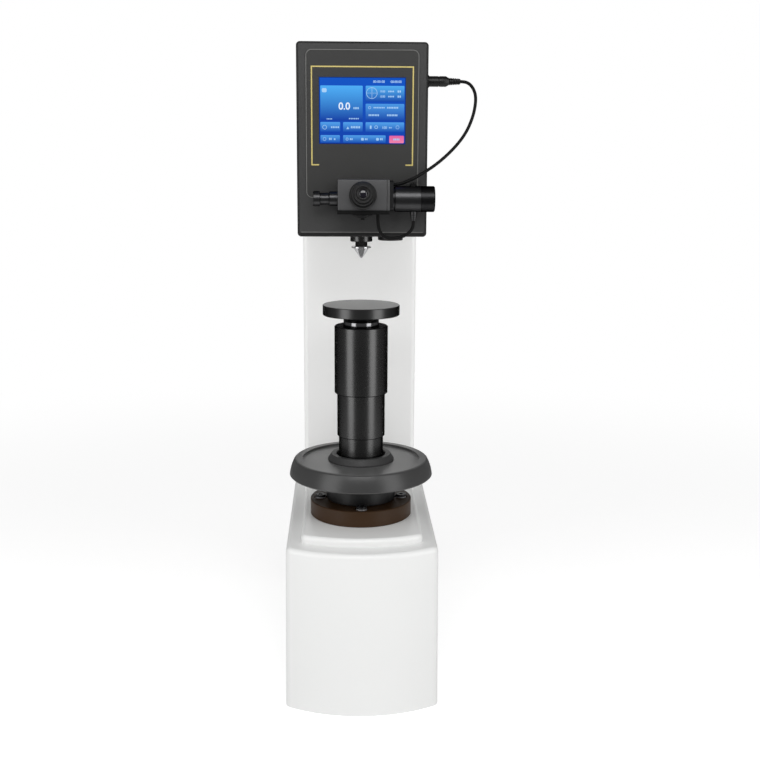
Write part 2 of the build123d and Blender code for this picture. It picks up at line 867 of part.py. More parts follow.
def handwheel():
    """Dished wheel with a sloping, slightly bowed rim."""
    boss = nut_flange_radius - 0.5
    web_under = wheel_floor - wheel_web
    half_level = (wheel_low + wheel_top) / 2
    half_radius = (wheel_top_radius + wheel_foot_radius) / 2 + wheel_bulge
    e = wheel_edge
    inner = Polyline(
        (wheel_foot_radius - e, wheel_low), (wheel_foot_radius - 3 * e, wheel_low),
        (wheel_rim_inner_radius, web_under), (boss, web_under), (boss, nut_top), (hub_bore, nut_top),
        (hub_bore, wheel_floor), (wheel_recess_radius, wheel_floor), (wheel_recess_radius, wheel_top),
        (wheel_top_radius - e, wheel_top),
    )
    shoulder = ThreePointArc(
        (wheel_top_radius - e, wheel_top), (wheel_top_radius - e / 4, wheel_top - e / 3),
        (wheel_top_radius + e / 2, wheel_top - e))
    rim = ThreePointArc(
        (wheel_top_radius + e / 2, wheel_top - e), (half_radius, half_level),
        (wheel_foot_radius, wheel_low + e))
    foot = Line((wheel_foot_radius, wheel_low + e), (wheel_foot_radius - e, wheel_low))
    wheel = revolve(Plane.XZ * make_face([inner, shoulder, rim, foot]), Axis.Z)
    for angle in around(4, 45):
        x, y = on_circle(wheel_screw_circle, angle)
        wheel -= rod(wheel_screw_radius + running_gap, nut_top - 1, wheel_floor + 1, x, y)
        wheel -= rod(wheel_screw_head_radius + running_gap, wheel_floor - wheel_screw_head_height,
                     wheel_floor + 1, x, y)
    return wheel


def hub_ring():
    """Bevelled ring round the wheel's hub that hides the wheel's screws."""
    top = wheel_floor + hub_ring_height
    return turned([
        (hub_bore, wheel_floor), (hub_ring_radius, wheel_floor), (hub_ring_radius, wheel_floor + 2),
        (hub_ring_radius - hub_ring_slope, top), (hub_bore + 1, top), (hub_bore, top - 1),
    ])


def wheel_screws():
    """Screws that hold the wheel to the nut's flange."""
    screws = []
    for angle in around(4, 45):
        x, y = on_circle(wheel_screw_circle, angle)
        shoulder = wheel_floor - wheel_screw_head_height
        screws.append(rod(wheel_screw_radius - running_gap, nut_flange_low, shoulder, x, y)
                      + rod(wheel_screw_head_radius, shoulder, wheel_floor, x, y))
    return Compound(screws)


def neck_sleeve():
    """Lowest sleeve, which stands on the nut and turns with it."""
    c = sleeve_chamfer
    inner = neck_radius - neck_wall
    return turned([
        (inner, nut_top), (neck_radius, nut_top), (neck_radius, neck_top - c),
        (neck_radius - c, neck_top), (inner, neck_top),
    ])


def middle_sleeve():
    """Sliding tube between the neck and the upper sleeve."""
    c = sleeve_chamfer
    inner = middle_radius - middle_wall
    return turned([
        (inner, middle_low), (middle_radius - c, middle_low), (middle_radius, middle_low + c),
        (middle_radius, middle_top), (inner, middle_top),
    ])


def upper_sleeve():
    """Top sleeve, capped and clamped under the screw's collar."""
    c = sleeve_chamfer
    inner = middle_radius + sleeve_gap
    return turned([
        (inner, upper_low), (upper_radius - c, upper_low), (upper_radius, upper_low + c),
        (upper_radius, upper_top - c), (upper_radius - c, upper_top), (spigot_radius, upper_top),
        (spigot_radius, upper_top - upper_cap), (inner, upper_top - upper_cap),
    ])


def elevating_screw():
    """Keyed screw that carries the anvil."""
    shoulder = upper_top - upper_cap
    chamfer_size = 3.0
    body = turned([
        (0, screw_low), (screw_radius - chamfer_size, screw_low), (screw_radius, screw_low + chamfer_size),
        (screw_radius, shoulder), (spigot_radius, shoulder), (spigot_radius, collar_top), (0, collar_top),
    ])
    half = keyway_width / 2
    body -= block(-half, half, screw_radius - keyway_depth, screw_radius + 1, screw_low - 1,
                  shoulder - 2 * keyway_width)
    socket = anvil_stem_radius + running_gap
    return body - rod(socket, collar_top - anvil_stem_length - 1, collar_top + 1)


def screw_collar():
    """Bright collar between the top sleeve and the anvil."""
    return tube(collar_radius, spigot_radius, upper_top, collar_top)


def anvil():
    """Round flat table with a tapered boss and a stem that drops into the screw."""
    e = anvil_edge
    return turned([
        (0, collar_top - anvil_stem_length), (anvil_stem_radius, collar_top - anvil_stem_length),
        (anvil_stem_radius, collar_top), (anvil_boss_radius - anvil_boss_taper, collar_top),
        (anvil_boss_radius, anvil_low), (anvil_radius - e, anvil_low), (anvil_radius, anvil_low + e),
        (anvil_radius, anvil_top - e), (anvil_radius - e, anvil_top), (0, anvil_top),
    ])


def spindle_bush():
    """Flanged guide of the loading spindle."""
    bore = spindle_radius + running_gap
    return turned([
        (bore, head_underside), (bush_radius, head_underside), (bush_radius, head_floor),
        (bush_flange_radius, head_floor), (bush_flange_radius, head_floor + bush_flange_height),
        (bush_radius, head_floor + bush_flange_height), (bush_radius, bush_top), (bore, bush_top),
    ])


def spindle():
    """Loading spindle with the collar that its spring lifts."""
    collar = spindle_collar_level
    holder_top = head_underside - 1
    nose = spindle_top - spindle_nose_radius
    body = turned([
        (0, holder_top), (spindle_radius, holder_top), (spindle_radius, collar),
        (spindle_collar_radius, collar), (spindle_collar_radius, collar + spindle_collar_height),
        (spindle_radius, collar + spindle_collar_height), (spindle_radius, nose - 2),
        (spindle_nose_radius, nose), (0, nose),
    ])
    return body + Pos(0, 0, nose) * Sphere(spindle_nose_radius, arc_size1=0)


def return_spring():
    """Coil between the bush and the spindle's collar."""
    radius = spindle_radius + spring_wire + 1.2
    low = bush_top + spring_wire
    rise = spindle_collar_level - spring_wire - low
    path = Helix(pitch=rise / spring_turns, height=rise, radius=radius)
    section = Plane(origin=path @ 0, z_dir=path % 0) * Circle(spring_wire)
    return Pos(0, 0, low) * sweep(section, path)


def indenter_holder():
    """Black collar at the spindle's foot that takes the indenter."""
    top = head_underside - 1
    c = 0.8
    return turned([
        (0, holder_low), (holder_radius - c, holder_low), (holder_radius, holder_low + c),
        (holder_radius, top), (0, top),
    ])


def lock_nut():
    """Hexagon that locks the indenter."""
    low = holder_low - lock_nut_height
    return Pos(0, 0, low) * extrude(RegularPolygon(lock_nut_radius, 6), lock_nut_height)


def indenter():
    """Bright conical indenter body."""
    top = holder_low - lock_nut_height
    shoulder = top - tip_flange_height
    end = shoulder - tip_cone_height
    cone = turned([
        (0, top), (tip_flange_radius - 1, top), (tip_flange_radius, top - 1),
        (tip_flange_radius, shoulder), (tip_cone_radius, shoulder - 0.6),
        (tip_cone_end_radius, end), (0, end),
    ])
    return cone - Pos(0, 0, ball_level()) * Sphere(ball_radius)


def ball_level():
    """Height of the ball's centre."""
    end = holder_low - lock_nut_height - tip_flange_height - tip_cone_height
    return end + ball_radius - ball_showing


def indenter_ball():
    """Hard ball held in the indenter's nose."""
    return Pos(0, 0, ball_level()) * Sphere(ball_radius)


def main_lever():
    """Tapered lever that turns the push rod's lift into spindle force."""
    front_low = spindle_top + seat_gap
    tail_low = load_point + seat_gap
    tail_y = drive_y + lever_tail_reach
    front_y = pivot_y - lever_front_reach
    profile = Polyline(
        (front_y, front_low), (pivot_y + pivot_radius, front_low), (tail_y - 2 * lever_tail_reach, tail_low),
        (tail_y, tail_low), (tail_y, tail_low + lever_tail_height), (pivot_y, front_low + lever_front_height),
        (front_y, front_low + lever_front_height * 0.7), close=True,
    )
    body = Pos(-lever_width / 2, 0, 0) * extrude(Plane.YZ * make_face(profile), lever_width)
    body = fillet(body.edges().filter_by(Axis.X), 3)
    return body - across(Cylinder(pivot_radius + running_gap, 2 * lever_width), 0, pivot_y, pivot_level)


def fulcrum_block():
    """Two cheeks on a foot that hold the lever's pin down."""
    inner = lever_width / 2 + seat_gap
    outer = inner + cheek_thickness
    body = None
    for sx in (-1, 1):
        x0, x1 = sorted((sx * inner, sx * outer))
        cheek = block(x0, x1, pivot_y - cheek_half_depth, pivot_y + cheek_half_depth, head_floor,
                      pivot_level + cheek_crown)
        cheek = fillet(cheek.edges().filter_by(Axis.X).group_by(Axis.Z)[-1], cheek_crown / 2)
        body = cheek if body is None else body + cheek
    bush_clear = bush_flange_radius + seat_gap
    body += block(-outer, outer, pivot_y + cheek_half_depth - fulcrum_foot, pivot_y + cheek_half_depth,
                  head_floor, head_floor + 4 * fulcrum_foot)
    body -= rod(bush_clear, head_floor - 1, head_floor + bush_flange_height + seat_gap)
    body -= rod(bush_radius + seat_gap, head_floor - 1, spindle_top)
    return body - across(Cylinder(pivot_radius, 4 * outer), 0, pivot_y, pivot_level)


def pivot_pin():
    """Pin through both cheeks and the lever."""
    half = lever_width / 2 + seat_gap + cheek_thickness
    return across(Cylinder(pivot_radius, 2 * half), 0, pivot_y, pivot_level)


def drive_bracket():
    """Two shelves on a back plate that hold the motor and the drive screw."""
    half = shelf_width / 2
    front = throat + body_wall
    back = drive_y + shelf_depth / 2
    body = block(-half, half, front, front + bracket_wall, shelf_level, bearing_low + shelf_thickness)
    for low in (shelf_level, bearing_low):
        body += block(-half, half, front, back, low, low + shelf_thickness)
    body -= rod(coupling_radius + 2, shelf_level - 1, shelf_top + 1, 0, drive_y)
    body -= rod(bearing_radius, bearing_low - 1, bearing_low + shelf_thickness + 1, 0, drive_y)
    return body - rod(guide_rod_radius, bearing_low - 1, bearing_low + shelf_thickness + 1,
                      0, drive_y - guide_rod_offset)


def drive_motor():
    """Square gear motor hung under the lower shelf."""
    half = motor_side / 2
    body = block(-half, half, drive_y - half, drive_y + half, shelf_level - motor_height, shelf_level)
    body = chamfer(body.edges().filter_by(Axis.Z), 6)
    return body - rod(motor_shaft_radius + seat_gap, shelf_level - motor_shaft_sink - seat_gap,
                      shelf_level + 1, 0, drive_y)


def motor_shaft():
    """Motor's output shaft."""
    return rod(motor_shaft_radius, shelf_level - motor_shaft_sink, shelf_level + motor_shaft_length,
               0, drive_y)


def shaft_coupling():
    """Clamp coupling between the motor's shaft and the drive screw."""
    low = shelf_level + motor_shaft_length / 2
    high = bearing_low - coupling_gap
    body = rod(coupling_radius, low, high, 0, drive_y)
    middle = (low + high) / 2
    for turn in (-1, 1):
        groove = tube(coupling_radius + 1, coupling_radius - 3, middle + 3 * turn - 0.8,
                      middle + 3 * turn + 0.8, 0, drive_y)
        body -= groove
    return body


def drive_screw():
    """Screw that the motor turns to lift the push rod."""
    low = bearing_low - coupling_gap
    body = rod(drive_screw_radius, low, drive_screw_top, 0, drive_y)
    return chamfer(body.edges().group_by(Axis.Z)[-1], 1.5)


def drive_bearing():
    """Ball bearing of the drive screw, pressed into the upper shelf."""
    return tube(bearing_radius, drive_screw_radius + running_gap, bearing_low,
                bearing_low + shelf_thickness, 0, drive_y)


def push_rod():
    """Drive nut with its guide arm and the tube that lifts the load cell."""
    half = drive_nut_width / 2
    top = drive_nut_level + drive_nut_height
    rod_y = drive_y - guide_rod_offset
    body = block(-half, half, drive_y - half, drive_y + half, drive_nut_level, top)
    body = chamfer(body.edges().filter_by(Axis.Z), 4)
    arm = guide_arm_width / 2
    body += block(-arm, arm, rod_y - arm, drive_y - half + 1, drive_nut_level, top)
    body += rod(push_tube_radius, top, push_tube_top, 0, drive_y)
    body -= rod(push_tube_radius - push_tube_wall, top, push_tube_top - 2 * push_tube_wall, 0, drive_y)
    body -= rod(drive_screw_radius + running_gap, drive_nut_level - 1, top + 1, 0, drive_y)
    return body - rod(guide_rod_radius + running_gap, drive_nut_level - 1, top + 1, 0, rod_y)


def guide_rod():
    """Rod beside the drive screw that stops its nut from turning."""
    return rod(guide_rod_radius, bearing_low, bearing_low + guide_rod_length, 0, drive_y - guide_rod_offset)


def load_cell():
    """Force sensor on the push rod, with a domed button under the lever."""
    top = push_tube_top + cell_height
    body = rod(cell_radius, push_tube_top, top, 0, drive_y)
    body = chamfer(body.edges(), 1.5)
    button = Pos(0, drive_y, load_point - cell_button_radius) * Sphere(cell_button_radius)
    return body + (button - rod(cell_radius, push_tube_top, top - 1, 0, drive_y))


def power_supply():
    """Closed supply box on the base's floor."""
    half = power_box_width / 2
    body = block(-half, half, power_box_y, power_box_y + power_box_depth, base_floor,
                 base_floor + power_box_height)
    return chamfer(body.edges().filter_by(Axis.Z), 3)


def objective():
    """Black objective with its lamp ring under the head."""
    low = head_underside - objective_drop
    c = 1.0
    ring = turned([
        (objective_tube_radius - 4, low + 2), (objective_tube_radius, low),
        (objective_radius - c, low), (objective_radius, low + c), (objective_radius, head_underside),
        (objective_tube_radius - 4, head_underside),
    ])
    glass = rod(objective_tube_radius - 4, low + 3, low + 5)
    return Pos(objective_x, 0, 0) * (ring + glass)


def objective_tube():
    """Tube that carries the image up through the head's floor."""
    return tube(objective_tube_radius, objective_tube_radius - 2, head_underside, prism_low, objective_x)


def prism_housing():
    """Block that turns the light forwards to the eyepiece."""
    half = prism_depth / 2
    body = block(prism_left, prism_right, -half, half, prism_low, prism_high)
    body = chamfer(body.edges().filter_by(Axis.X).sort_by(Axis.Z)[-1], 5)
    nose_back = -bush_radius - 1
    return body + block(prism_nose_left, prism_right, nose_back - prism_nose_depth, nose_back,
                        prism_low, prism_high) + block(prism_left, prism_right, nose_back, -half,
                                                       prism_low, prism_high)


def relay_tube():
    """Tube from the prism housing to the eyepiece."""
    start = bush_radius + 1 + prism_nose_depth
    length = eyepiece_back - start
    body = Cylinder(relay_radius, length, align=(Align.CENTER, Align.CENTER, Align.MIN))
    body -= Cylinder(relay_radius - 2, length, align=(Align.CENTER, Align.CENTER, Align.MIN))
    return Pos(relay_x, -start, ocular_level) * Rot(90, 0, 0) * body


def eyepiece_box():
    """Measuring eyepiece's square housing."""
    body = block(-eyepiece_left, eyepiece_right, -eyepiece_front, -eyepiece_back,
                 eyepiece_low, eyepiece_high)
    return chamfer(body.edges().filter_by(GeomType.LINE), eyepiece_edge)


def eyepiece_shelf():
    """Angle plate on the cover that the eyepiece stands on."""
    top = eyepiece_low
    low = top - shelf_plate_thickness
    body = block(-shelf_plate_left, shelf_plate_right, -shelf_plate_front, -cover_face, low, top)
    body = fillet(body.edges().filter_by(Axis.Z).group_by(Axis.Y)[0], 2)
    body += block(-shelf_plate_left, shelf_plate_right, -cover_face - shelf_plate_lip_thickness,
                  -cover_face, low, low + shelf_plate_lip)
    body -= relay_cutter(relay_radius + seat_gap)
    return body - rod(clamp_tip_radius + running_gap, low - 1, top + 1, 0, -clamp_knob_y)


def clamp_knob():
    """Tapered thumb knob under the shelf that clamps the eyepiece."""
    top = eyepiece_low - shelf_plate_thickness - seat_gap
    low = top - clamp_knob_height
    knob = turned([
        (0, eyepiece_low - seat_gap), (clamp_tip_radius, eyepiece_low - seat_gap),
        (clamp_tip_radius, top), (clamp_knob_radius, top), (clamp_knob_radius, top - 1.2),
        (clamp_knob_foot_radius, low), (clamp_tip_radius, low), (clamp_tip_radius, low - clamp_tip_height),
        (0, low - clamp_tip_height),
    ])
    return Pos(0, -clamp_knob_y, 0) * knob


def ocular_axis():
    """Place at the eyepiece's front face whose Z axis points out along the tilted ocular."""
    return Pos(0, -eyepiece_front, ocular_level) * Rot(90 - ocular_tilt, 0, 0)


def ocular_barrel():
    """Flange and barrel of the ocular, which leans up to the operator's eye."""
    flange = Cylinder(ocular_base_radius, ocular_base_length + 4,
                      align=(Align.CENTER, Align.CENTER, Align.MIN))
    flange = Pos(0, 0, -4) * chamfer(flange.edges().group_by(Axis.Z)[-1], 1.5)
    barrel = Cylinder(ocular_barrel_radius, ocular_base_length + ocular_barrel_length,
                      align=(Align.CENTER, Align.CENTER, Align.MIN))
    recess = Pos(0, 0, ocular_base_length + ocular_barrel_length - 3) * Cylinder(
        ocular_lens_radius, 4, align=(Align.CENTER, Align.CENTER, Align.MIN))
    behind = block(-eyepiece_left, eyepiece_right, -eyepiece_front, 0, eyepiece_low, eyepiece_high)
    return ocular_axis() * (flange + barrel - recess) - behind


def ocular_lens():
    """Eye lens, domed outwards."""
    seat = ocular_base_length + ocular_barrel_length - 3
    disc = Cylinder(ocular_lens_radius, 2.4, align=(Align.CENTER, Align.CENTER, Align.MIN))
    disc = fillet(disc.edges().group_by(Axis.Z)[-1], 1.6)
    return ocular_axis() * Pos(0, 0, seat) * disc


def dioptre_ring():
    """Focusing ring that turns on the barrel."""
    start = ocular_base_length + seat_gap
    ring = Cylinder(dioptre_ring_radius, dioptre_ring_length,
                    align=(Align.CENTER, Align.CENTER, Align.MIN))
    ring = chamfer(ring.edges().group_by(Axis.Z)[-1], 1.5)
    ring -= Cylinder(ocular_barrel_radius + running_gap, dioptre_ring_length,
                     align=(Align.CENTER, Align.CENTER, Align.MIN))
    return ocular_axis() * Pos(0, 0, start) * ring


def drum_collar():
    """Square end plate on the eyepiece and the neck that carries the encoder."""
    body = Cylinder(drum_collar_radius, drum_collar_length, align=(Align.CENTER, Align.CENTER, Align.MIN))
    plate = block(eyepiece_right, end_plate_right, end_plate_inset - eyepiece_front,
                  -eyepiece_back - end_plate_inset, eyepiece_low + end_plate_inset,
                  eyepiece_high - end_plate_inset)
    plate = chamfer(plate.edges().filter_by(Axis.X), end_plate_inset)
    return plate + across(body, eyepiece_right, -drum_y, drum_level)


def encoder_housing():
    """Fixed barrel that reads the measuring drum, with a boss for the button."""
    body = Cylinder(drum_radius, drum_housing_length, align=(Align.CENTER, Align.CENTER, Align.MIN))
    body = chamfer(body.edges().group_by(Axis.Z)[0], 1.2)
    bore = drum_shaft_radius + running_gap
    body -= Pos(0, 0, drum_housing_length / 2) * Cylinder(
        bore, drum_housing_length, align=(Align.CENTER, Align.CENTER, Align.MIN))
    body = across(body, drum_left, -drum_y, drum_level)
    top = drum_level + drum_radius
    return body - rod(button_radius + running_gap, top - button_stem_length, top + 1, button_x, -drum_y)


def drum_knob():
    """Measuring drum that the operator turns."""
    body = Cylinder(drum_radius, drum_knob_length - seat_gap, align=(Align.CENTER, Align.CENTER, Align.MIN))
    body = chamfer(body.edges().group_by(Axis.Z)[-1], 1.2)
    shaft_length = drum_housing_length / 2 - 2
    shaft = Cylinder(drum_shaft_radius, shaft_length, align=(Align.CENTER, Align.CENTER, Align.MAX))
    return across(body + shaft, drum_knob_left + seat_gap, -drum_y, drum_level)


def left_knob():
    """Waisted knob that moves the fixed line."""
    root = left_root_length
    neck = root + left_neck_length
    end = neck + left_knob_length
    knob = turned([
        (0, seat_gap), (left_root_radius, seat_gap), (left_root_radius, root - 1.5),
        (left_neck_radius, root), (left_neck_radius, neck), (left_knob_radius, neck + 0.8),
        (left_knob_radius, end - 0.8), (left_knob_radius - 0.8, end), (0, end),
    ])
    return Pos(-eyepiece_left, -drum_y, drum_level) * Rot(0, -90, 0) * knob


def read_button():
    """Small key on the encoder that stores a reading."""
    top = drum_level + drum_radius + button_height
    low = drum_level + drum_radius - button_stem_length + seat_gap + 1.2
    body = rod(button_radius, low, top, button_x, -drum_y)
    return fillet(body.edges().group_by(Axis.Z)[-1], 0.8)


def short_relief():
    """Tapered strain relief under the encoder."""
    top = drum_level - drum_radius
    low = top - relief_length
    body = Pos(relief_x, -drum_y, 0) * turned([
        (0, low), (relief_end_radius, low), (relief_radius, top - 3), (relief_radius, top + 2), (0, top + 2),
    ])
    return body - across(Cylinder(drum_radius, 4 * relief_radius), relief_x, -drum_y, drum_level)


def display_socket():
    """Round socket on the cover's right side."""
    x = front_cover_width / 2
    body = Cylinder(socket_radius, socket_height, align=(Align.CENTER, Align.CENTER, Align.MIN))
    body = chamfer(body.edges().group_by(Axis.Z)[-1], 0.6)
    spigot = Cylinder(plug_radius - 2, front_cover_wall + 4, align=(Align.CENTER, Align.CENTER, Align.MAX))
    return across(body + spigot, x, -socket_y, socket_level)


def lead_plug():
    """Round plug with its tapered strain relief."""
    x = front_cover_width / 2 + socket_height
    taper = plug_length + plug_taper_length
    body = turned([
        (0, 0), (plug_radius, 0), (plug_radius, plug_length), (plug_relief_radius, taper),
        (plug_relief_end_radius, taper + plug_relief_length), (0, taper + plug_relief_length),
    ])
    return across(body, x, -socket_y, socket_level)


def smooth_path(points):
    """Straight runs joined by arcs as large as the runs beside each corner allow."""
    share = 0.45
    corners = [Vector(*p) for p in points]
    radii = []
    for a, b, c in zip(corners, corners[1:], corners[2:]):
        before, after = b - a, c - b
        half_turn = radians(before.get_angle(after)) / 2
        radii.append(share * min(before.length, after.length) / tan(half_turn))
    return FilletPolyline(*points, radius=radii)


def lead(points):
    """Plain tube along a lead's route."""
    path = smooth_path(points)
    section = Plane(origin=path @ 0, z_dir=path % 0) * Circle(lead_radius)
    return sweep(section, path)


def mains_inlet():
    """Three-pin mains inlet."""
    half_w, half_h = inlet_flange_width / 2, inlet_flange_height / 2
    outer = column_back + base_panel_thickness
    flange = block(inlet_x - half_w, inlet_x + half_w, outer, outer + 2.5,
                   mains_level - half_h, mains_level + half_h)
    flange = fillet(flange.edges().filter_by(Axis.Y), 4)
    body = block(inlet_x - inlet_width / 2, inlet_x + inlet_width / 2, outer - inlet_depth, outer,
                 mains_level - inlet_height / 2, mains_level + inlet_height / 2)
    body += flange
    socket_w, socket_h = inlet_width / 2 - 2, inlet_height / 2 - 2
    body -= block(inlet_x - socket_w, inlet_x + socket_w, outer - inlet_depth + 4, outer + 3,
                  mains_level - socket_h, mains_level + socket_h)
    for dx, dz in ((-7, -2), (0, 3), (7, -2)):
        body += block(inlet_x + dx - 1, inlet_x + dx + 1, outer - inlet_depth + 3,
                      outer - inlet_depth + 4 + inlet_pin_length, mains_level + dz - 2, mains_level + dz + 2)
    return body


def switch_frame():
    """Frame of the mains switch."""
    outer = column_back + base_panel_thickness
    half_w, half_h = rocker_frame_width / 2, rocker_frame_height / 2
    body = block(switch_x - half_w, switch_x + half_w, outer - rocker_frame_depth, outer,
                 mains_level - half_h, mains_level + half_h)
    body += block(switch_x - half_w - 2, switch_x + half_w + 2, outer, outer + 1.5,
                  mains_level - half_h - 2, mains_level + half_h + 2)
    gap_w, gap_h = rocker_width / 2 + seat_gap, rocker_height / 2 + 3 * seat_gap
    return body - block(switch_x - gap_w, switch_x + gap_w, outer - rocker_frame_depth + 2, outer + 3,
                        mains_level - gap_h, mains_level + gap_h)


def switch_rocker():
    """Rocker of the mains switch, bent about its pivot."""
    outer = column_back + base_panel_thickness + 1.5
    half_h = rocker_height / 2
    profile = Polyline(
        (outer + 0.6, mains_level - half_h), (outer - 3.4, mains_level - half_h + 1),
        (outer - 7, mains_level), (outer - 3.4, mains_level + half_h - 1),
        (outer + rocker_proud, mains_level + half_h), (outer + 0.6, mains_level), close=True,
    )
    return Pos(switch_x - rocker_width / 2, 0, 0) * extrude(Plane.YZ * make_face(profile), rocker_width)


def thread_screws():
    """Bolts and screws that hold the frame and its covers together."""
    return Compound([*frame_bolts().solids(), *cover_screws().solids()])


def nut_with_screws():
    """Elevating nut and the screws that hold the wheel on it."""
    return Compound([*elevating_nut().solids(), *wheel_screws().solids()])


parts = {
    "base_casting": base_casting,
    "column_casting": column_casting,
    "head_casting": head_casting,
    "head_lid": lid,
    "rear_cover": rear_cover,
    "base_panel": base_panel,
    "frame_screws": thread_screws,
    "front_cover": front_cover,
    "display_panel": display_panel,
    "touch_glass": touch_glass,
    "display_module": display_module,
    "control_board": control_board,
    "screw_guide": screw_guide,
    "seat_flange": seat_flange,
    "seat_bolts": seat_bolts,
    "bearing_seat": bearing_seat,
    "thrust_bearing": lambda: Compound([lower_race(), *thrust_rollers().solids()]),
    "upper_race": upper_race,
    "elevating_nut": nut_with_screws,
    "handwheel": handwheel,
    "hub_ring": hub_ring,
    "neck_sleeve": neck_sleeve,
    "middle_sleeve": middle_sleeve,
    "upper_sleeve": upper_sleeve,
    "elevating_screw": elevating_screw,
    "screw_collar": screw_collar,
    "anvil": anvil,
    "spindle_bush": spindle_bush,
    "spindle": spindle,
    "return_spring": return_spring,
    "indenter_holder": lambda: indenter_holder() + lock_nut(),
    "indenter": indenter,
    "indenter_ball": indenter_ball,
    "main_lever": main_lever,
    "fulcrum_block": fulcrum_block,
    "pivot_pin": pivot_pin,
    "drive_bracket": lambda: Compound([drive_bracket(), drive_bearing(), guide_rod()]),
    "drive_motor": drive_motor,
    "drive_screw": lambda: motor_shaft() + shaft_coupling() + drive_screw(),
    "push_rod": push_rod,
    "load_cell": load_cell,
    "power_supply": power_supply,
    "objective": objective,
    "microscope_body": lambda: Compound([objective_tube(), prism_housing(), relay_tube()]),
    "eyepiece_box": eyepiece_box,
    "eyepiece_shelf": eyepiece_shelf,
    "clamp_knob": clamp_knob,
    "ocular_barrel": lambda: Compound([*ocular_barrel().solids(), ocular_lens()]),
    "dioptre_ring": dioptre_ring,
    "encoder_housing": lambda: drum_collar() + encoder_housing() + short_relief(),
    "drum_knob": drum_knob,
    "left_knob": left_knob,
    "read_button": read_button,
    "display_socket": display_socket,
    "lead_plug": lead_plug,
    "display_lead": lambda: lead(lead_route),
    "encoder_lead": lambda: lead(short_lead_route),
    "mains_inlet": mains_inlet,
    "switch_frame": switch_frame,
    "switch_rocker": switch_rocker,
}

os.makedirs("parts", exist_ok=True)
for node, make in parts.items():
    export_step(make(), f"parts/{node}.step")
print(len(parts), "nodes")
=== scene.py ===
"""Bench hardness tester in a plain studio.

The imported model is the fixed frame. Each sub-assembly is a class that dresses its own nodes and
builds the finer pieces that stand for some of them. Lengths are in metres: X points to the
operator's right, Y away from the operator and Z up.
"""
from __future__ import annotations

import logging
import math
from dataclasses import dataclass, replace
from enum import Enum
from functools import cache

import bmesh
import bpy
from mathutils import Matrix, Vector

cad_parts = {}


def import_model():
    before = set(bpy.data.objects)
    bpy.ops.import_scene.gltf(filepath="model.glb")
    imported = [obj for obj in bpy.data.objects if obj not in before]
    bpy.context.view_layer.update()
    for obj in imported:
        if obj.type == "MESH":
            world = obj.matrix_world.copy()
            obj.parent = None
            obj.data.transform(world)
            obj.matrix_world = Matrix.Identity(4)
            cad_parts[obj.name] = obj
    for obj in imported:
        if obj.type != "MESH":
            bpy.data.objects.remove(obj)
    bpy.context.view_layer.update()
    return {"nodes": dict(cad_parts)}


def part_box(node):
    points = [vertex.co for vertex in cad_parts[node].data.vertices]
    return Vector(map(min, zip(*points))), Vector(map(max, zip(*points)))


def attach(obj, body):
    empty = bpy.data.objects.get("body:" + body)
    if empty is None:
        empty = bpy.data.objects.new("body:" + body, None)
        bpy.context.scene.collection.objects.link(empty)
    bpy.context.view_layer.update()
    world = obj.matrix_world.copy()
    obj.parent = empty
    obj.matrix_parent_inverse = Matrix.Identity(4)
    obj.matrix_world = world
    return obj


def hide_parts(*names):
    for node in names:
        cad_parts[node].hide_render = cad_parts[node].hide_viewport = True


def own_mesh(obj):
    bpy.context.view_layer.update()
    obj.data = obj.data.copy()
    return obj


log = logging.getLogger("hardness_tester")

MM = 0.001
QUARTER = math.pi / 2
PHOTO_SIDE = 760
SMOOTH_ANGLE = math.radians(32.0)
MERGE_DISTANCE = 1e-7
POLE_RADIUS = 1e-9

Point = tuple[float, float, float]
Colour = tuple[float, float, float, float]
Profile = list[tuple[float, float]]
Mesh = bpy.types.Mesh
Node = bpy.types.Node
Socket = bpy.types.NodeSocket
Ring = list[bmesh.types.BMVert]

WHITE: Colour = (1.0, 1.0, 1.0, 1.0)


def srgb(red: int, green: int, blue: int) -> Colour:
    """Colour from display values.

    Args:
        red, green, blue: channels from 0 to 255 as they show on a display.

    Returns:
        The linear colour with full alpha.
    """
    channels = []
    for value in (red, green, blue):
        c = value / 255.0
        channels.append(c / 12.92 if c <= 0.04045 else ((c + 0.055) / 1.055) ** 2.4)
    return (*channels, 1.0)


def grey(value: int) -> Colour:
    """Neutral grey from its display value."""
    return srgb(value, value, value)


class Axis(Enum):
    """Direction in which a turned piece's own Z axis points, as an angle about an axis."""

    UP = (0.0, "X")
    RIGHT = (QUARTER, "Y")
    BACK = (-QUARTER, "X")

    def turn(self) -> Matrix:
        """Rotation from a piece's own frame to this direction."""
        return Matrix.Rotation(self.value[0], 4, self.value[1])


class Along(Enum):
    """What the level of an edged finish is measured along."""

    Y = "Y"
    Z = "Z"
    RADIUS = "radius"


class Body(Enum):
    """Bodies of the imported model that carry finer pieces."""

    FRAME = "frame"
    FOCUS = "focus_ring"
    DRUM = "drum"
    LINE_KNOB = "line_knob"
    KEY = "key"


# Node trees


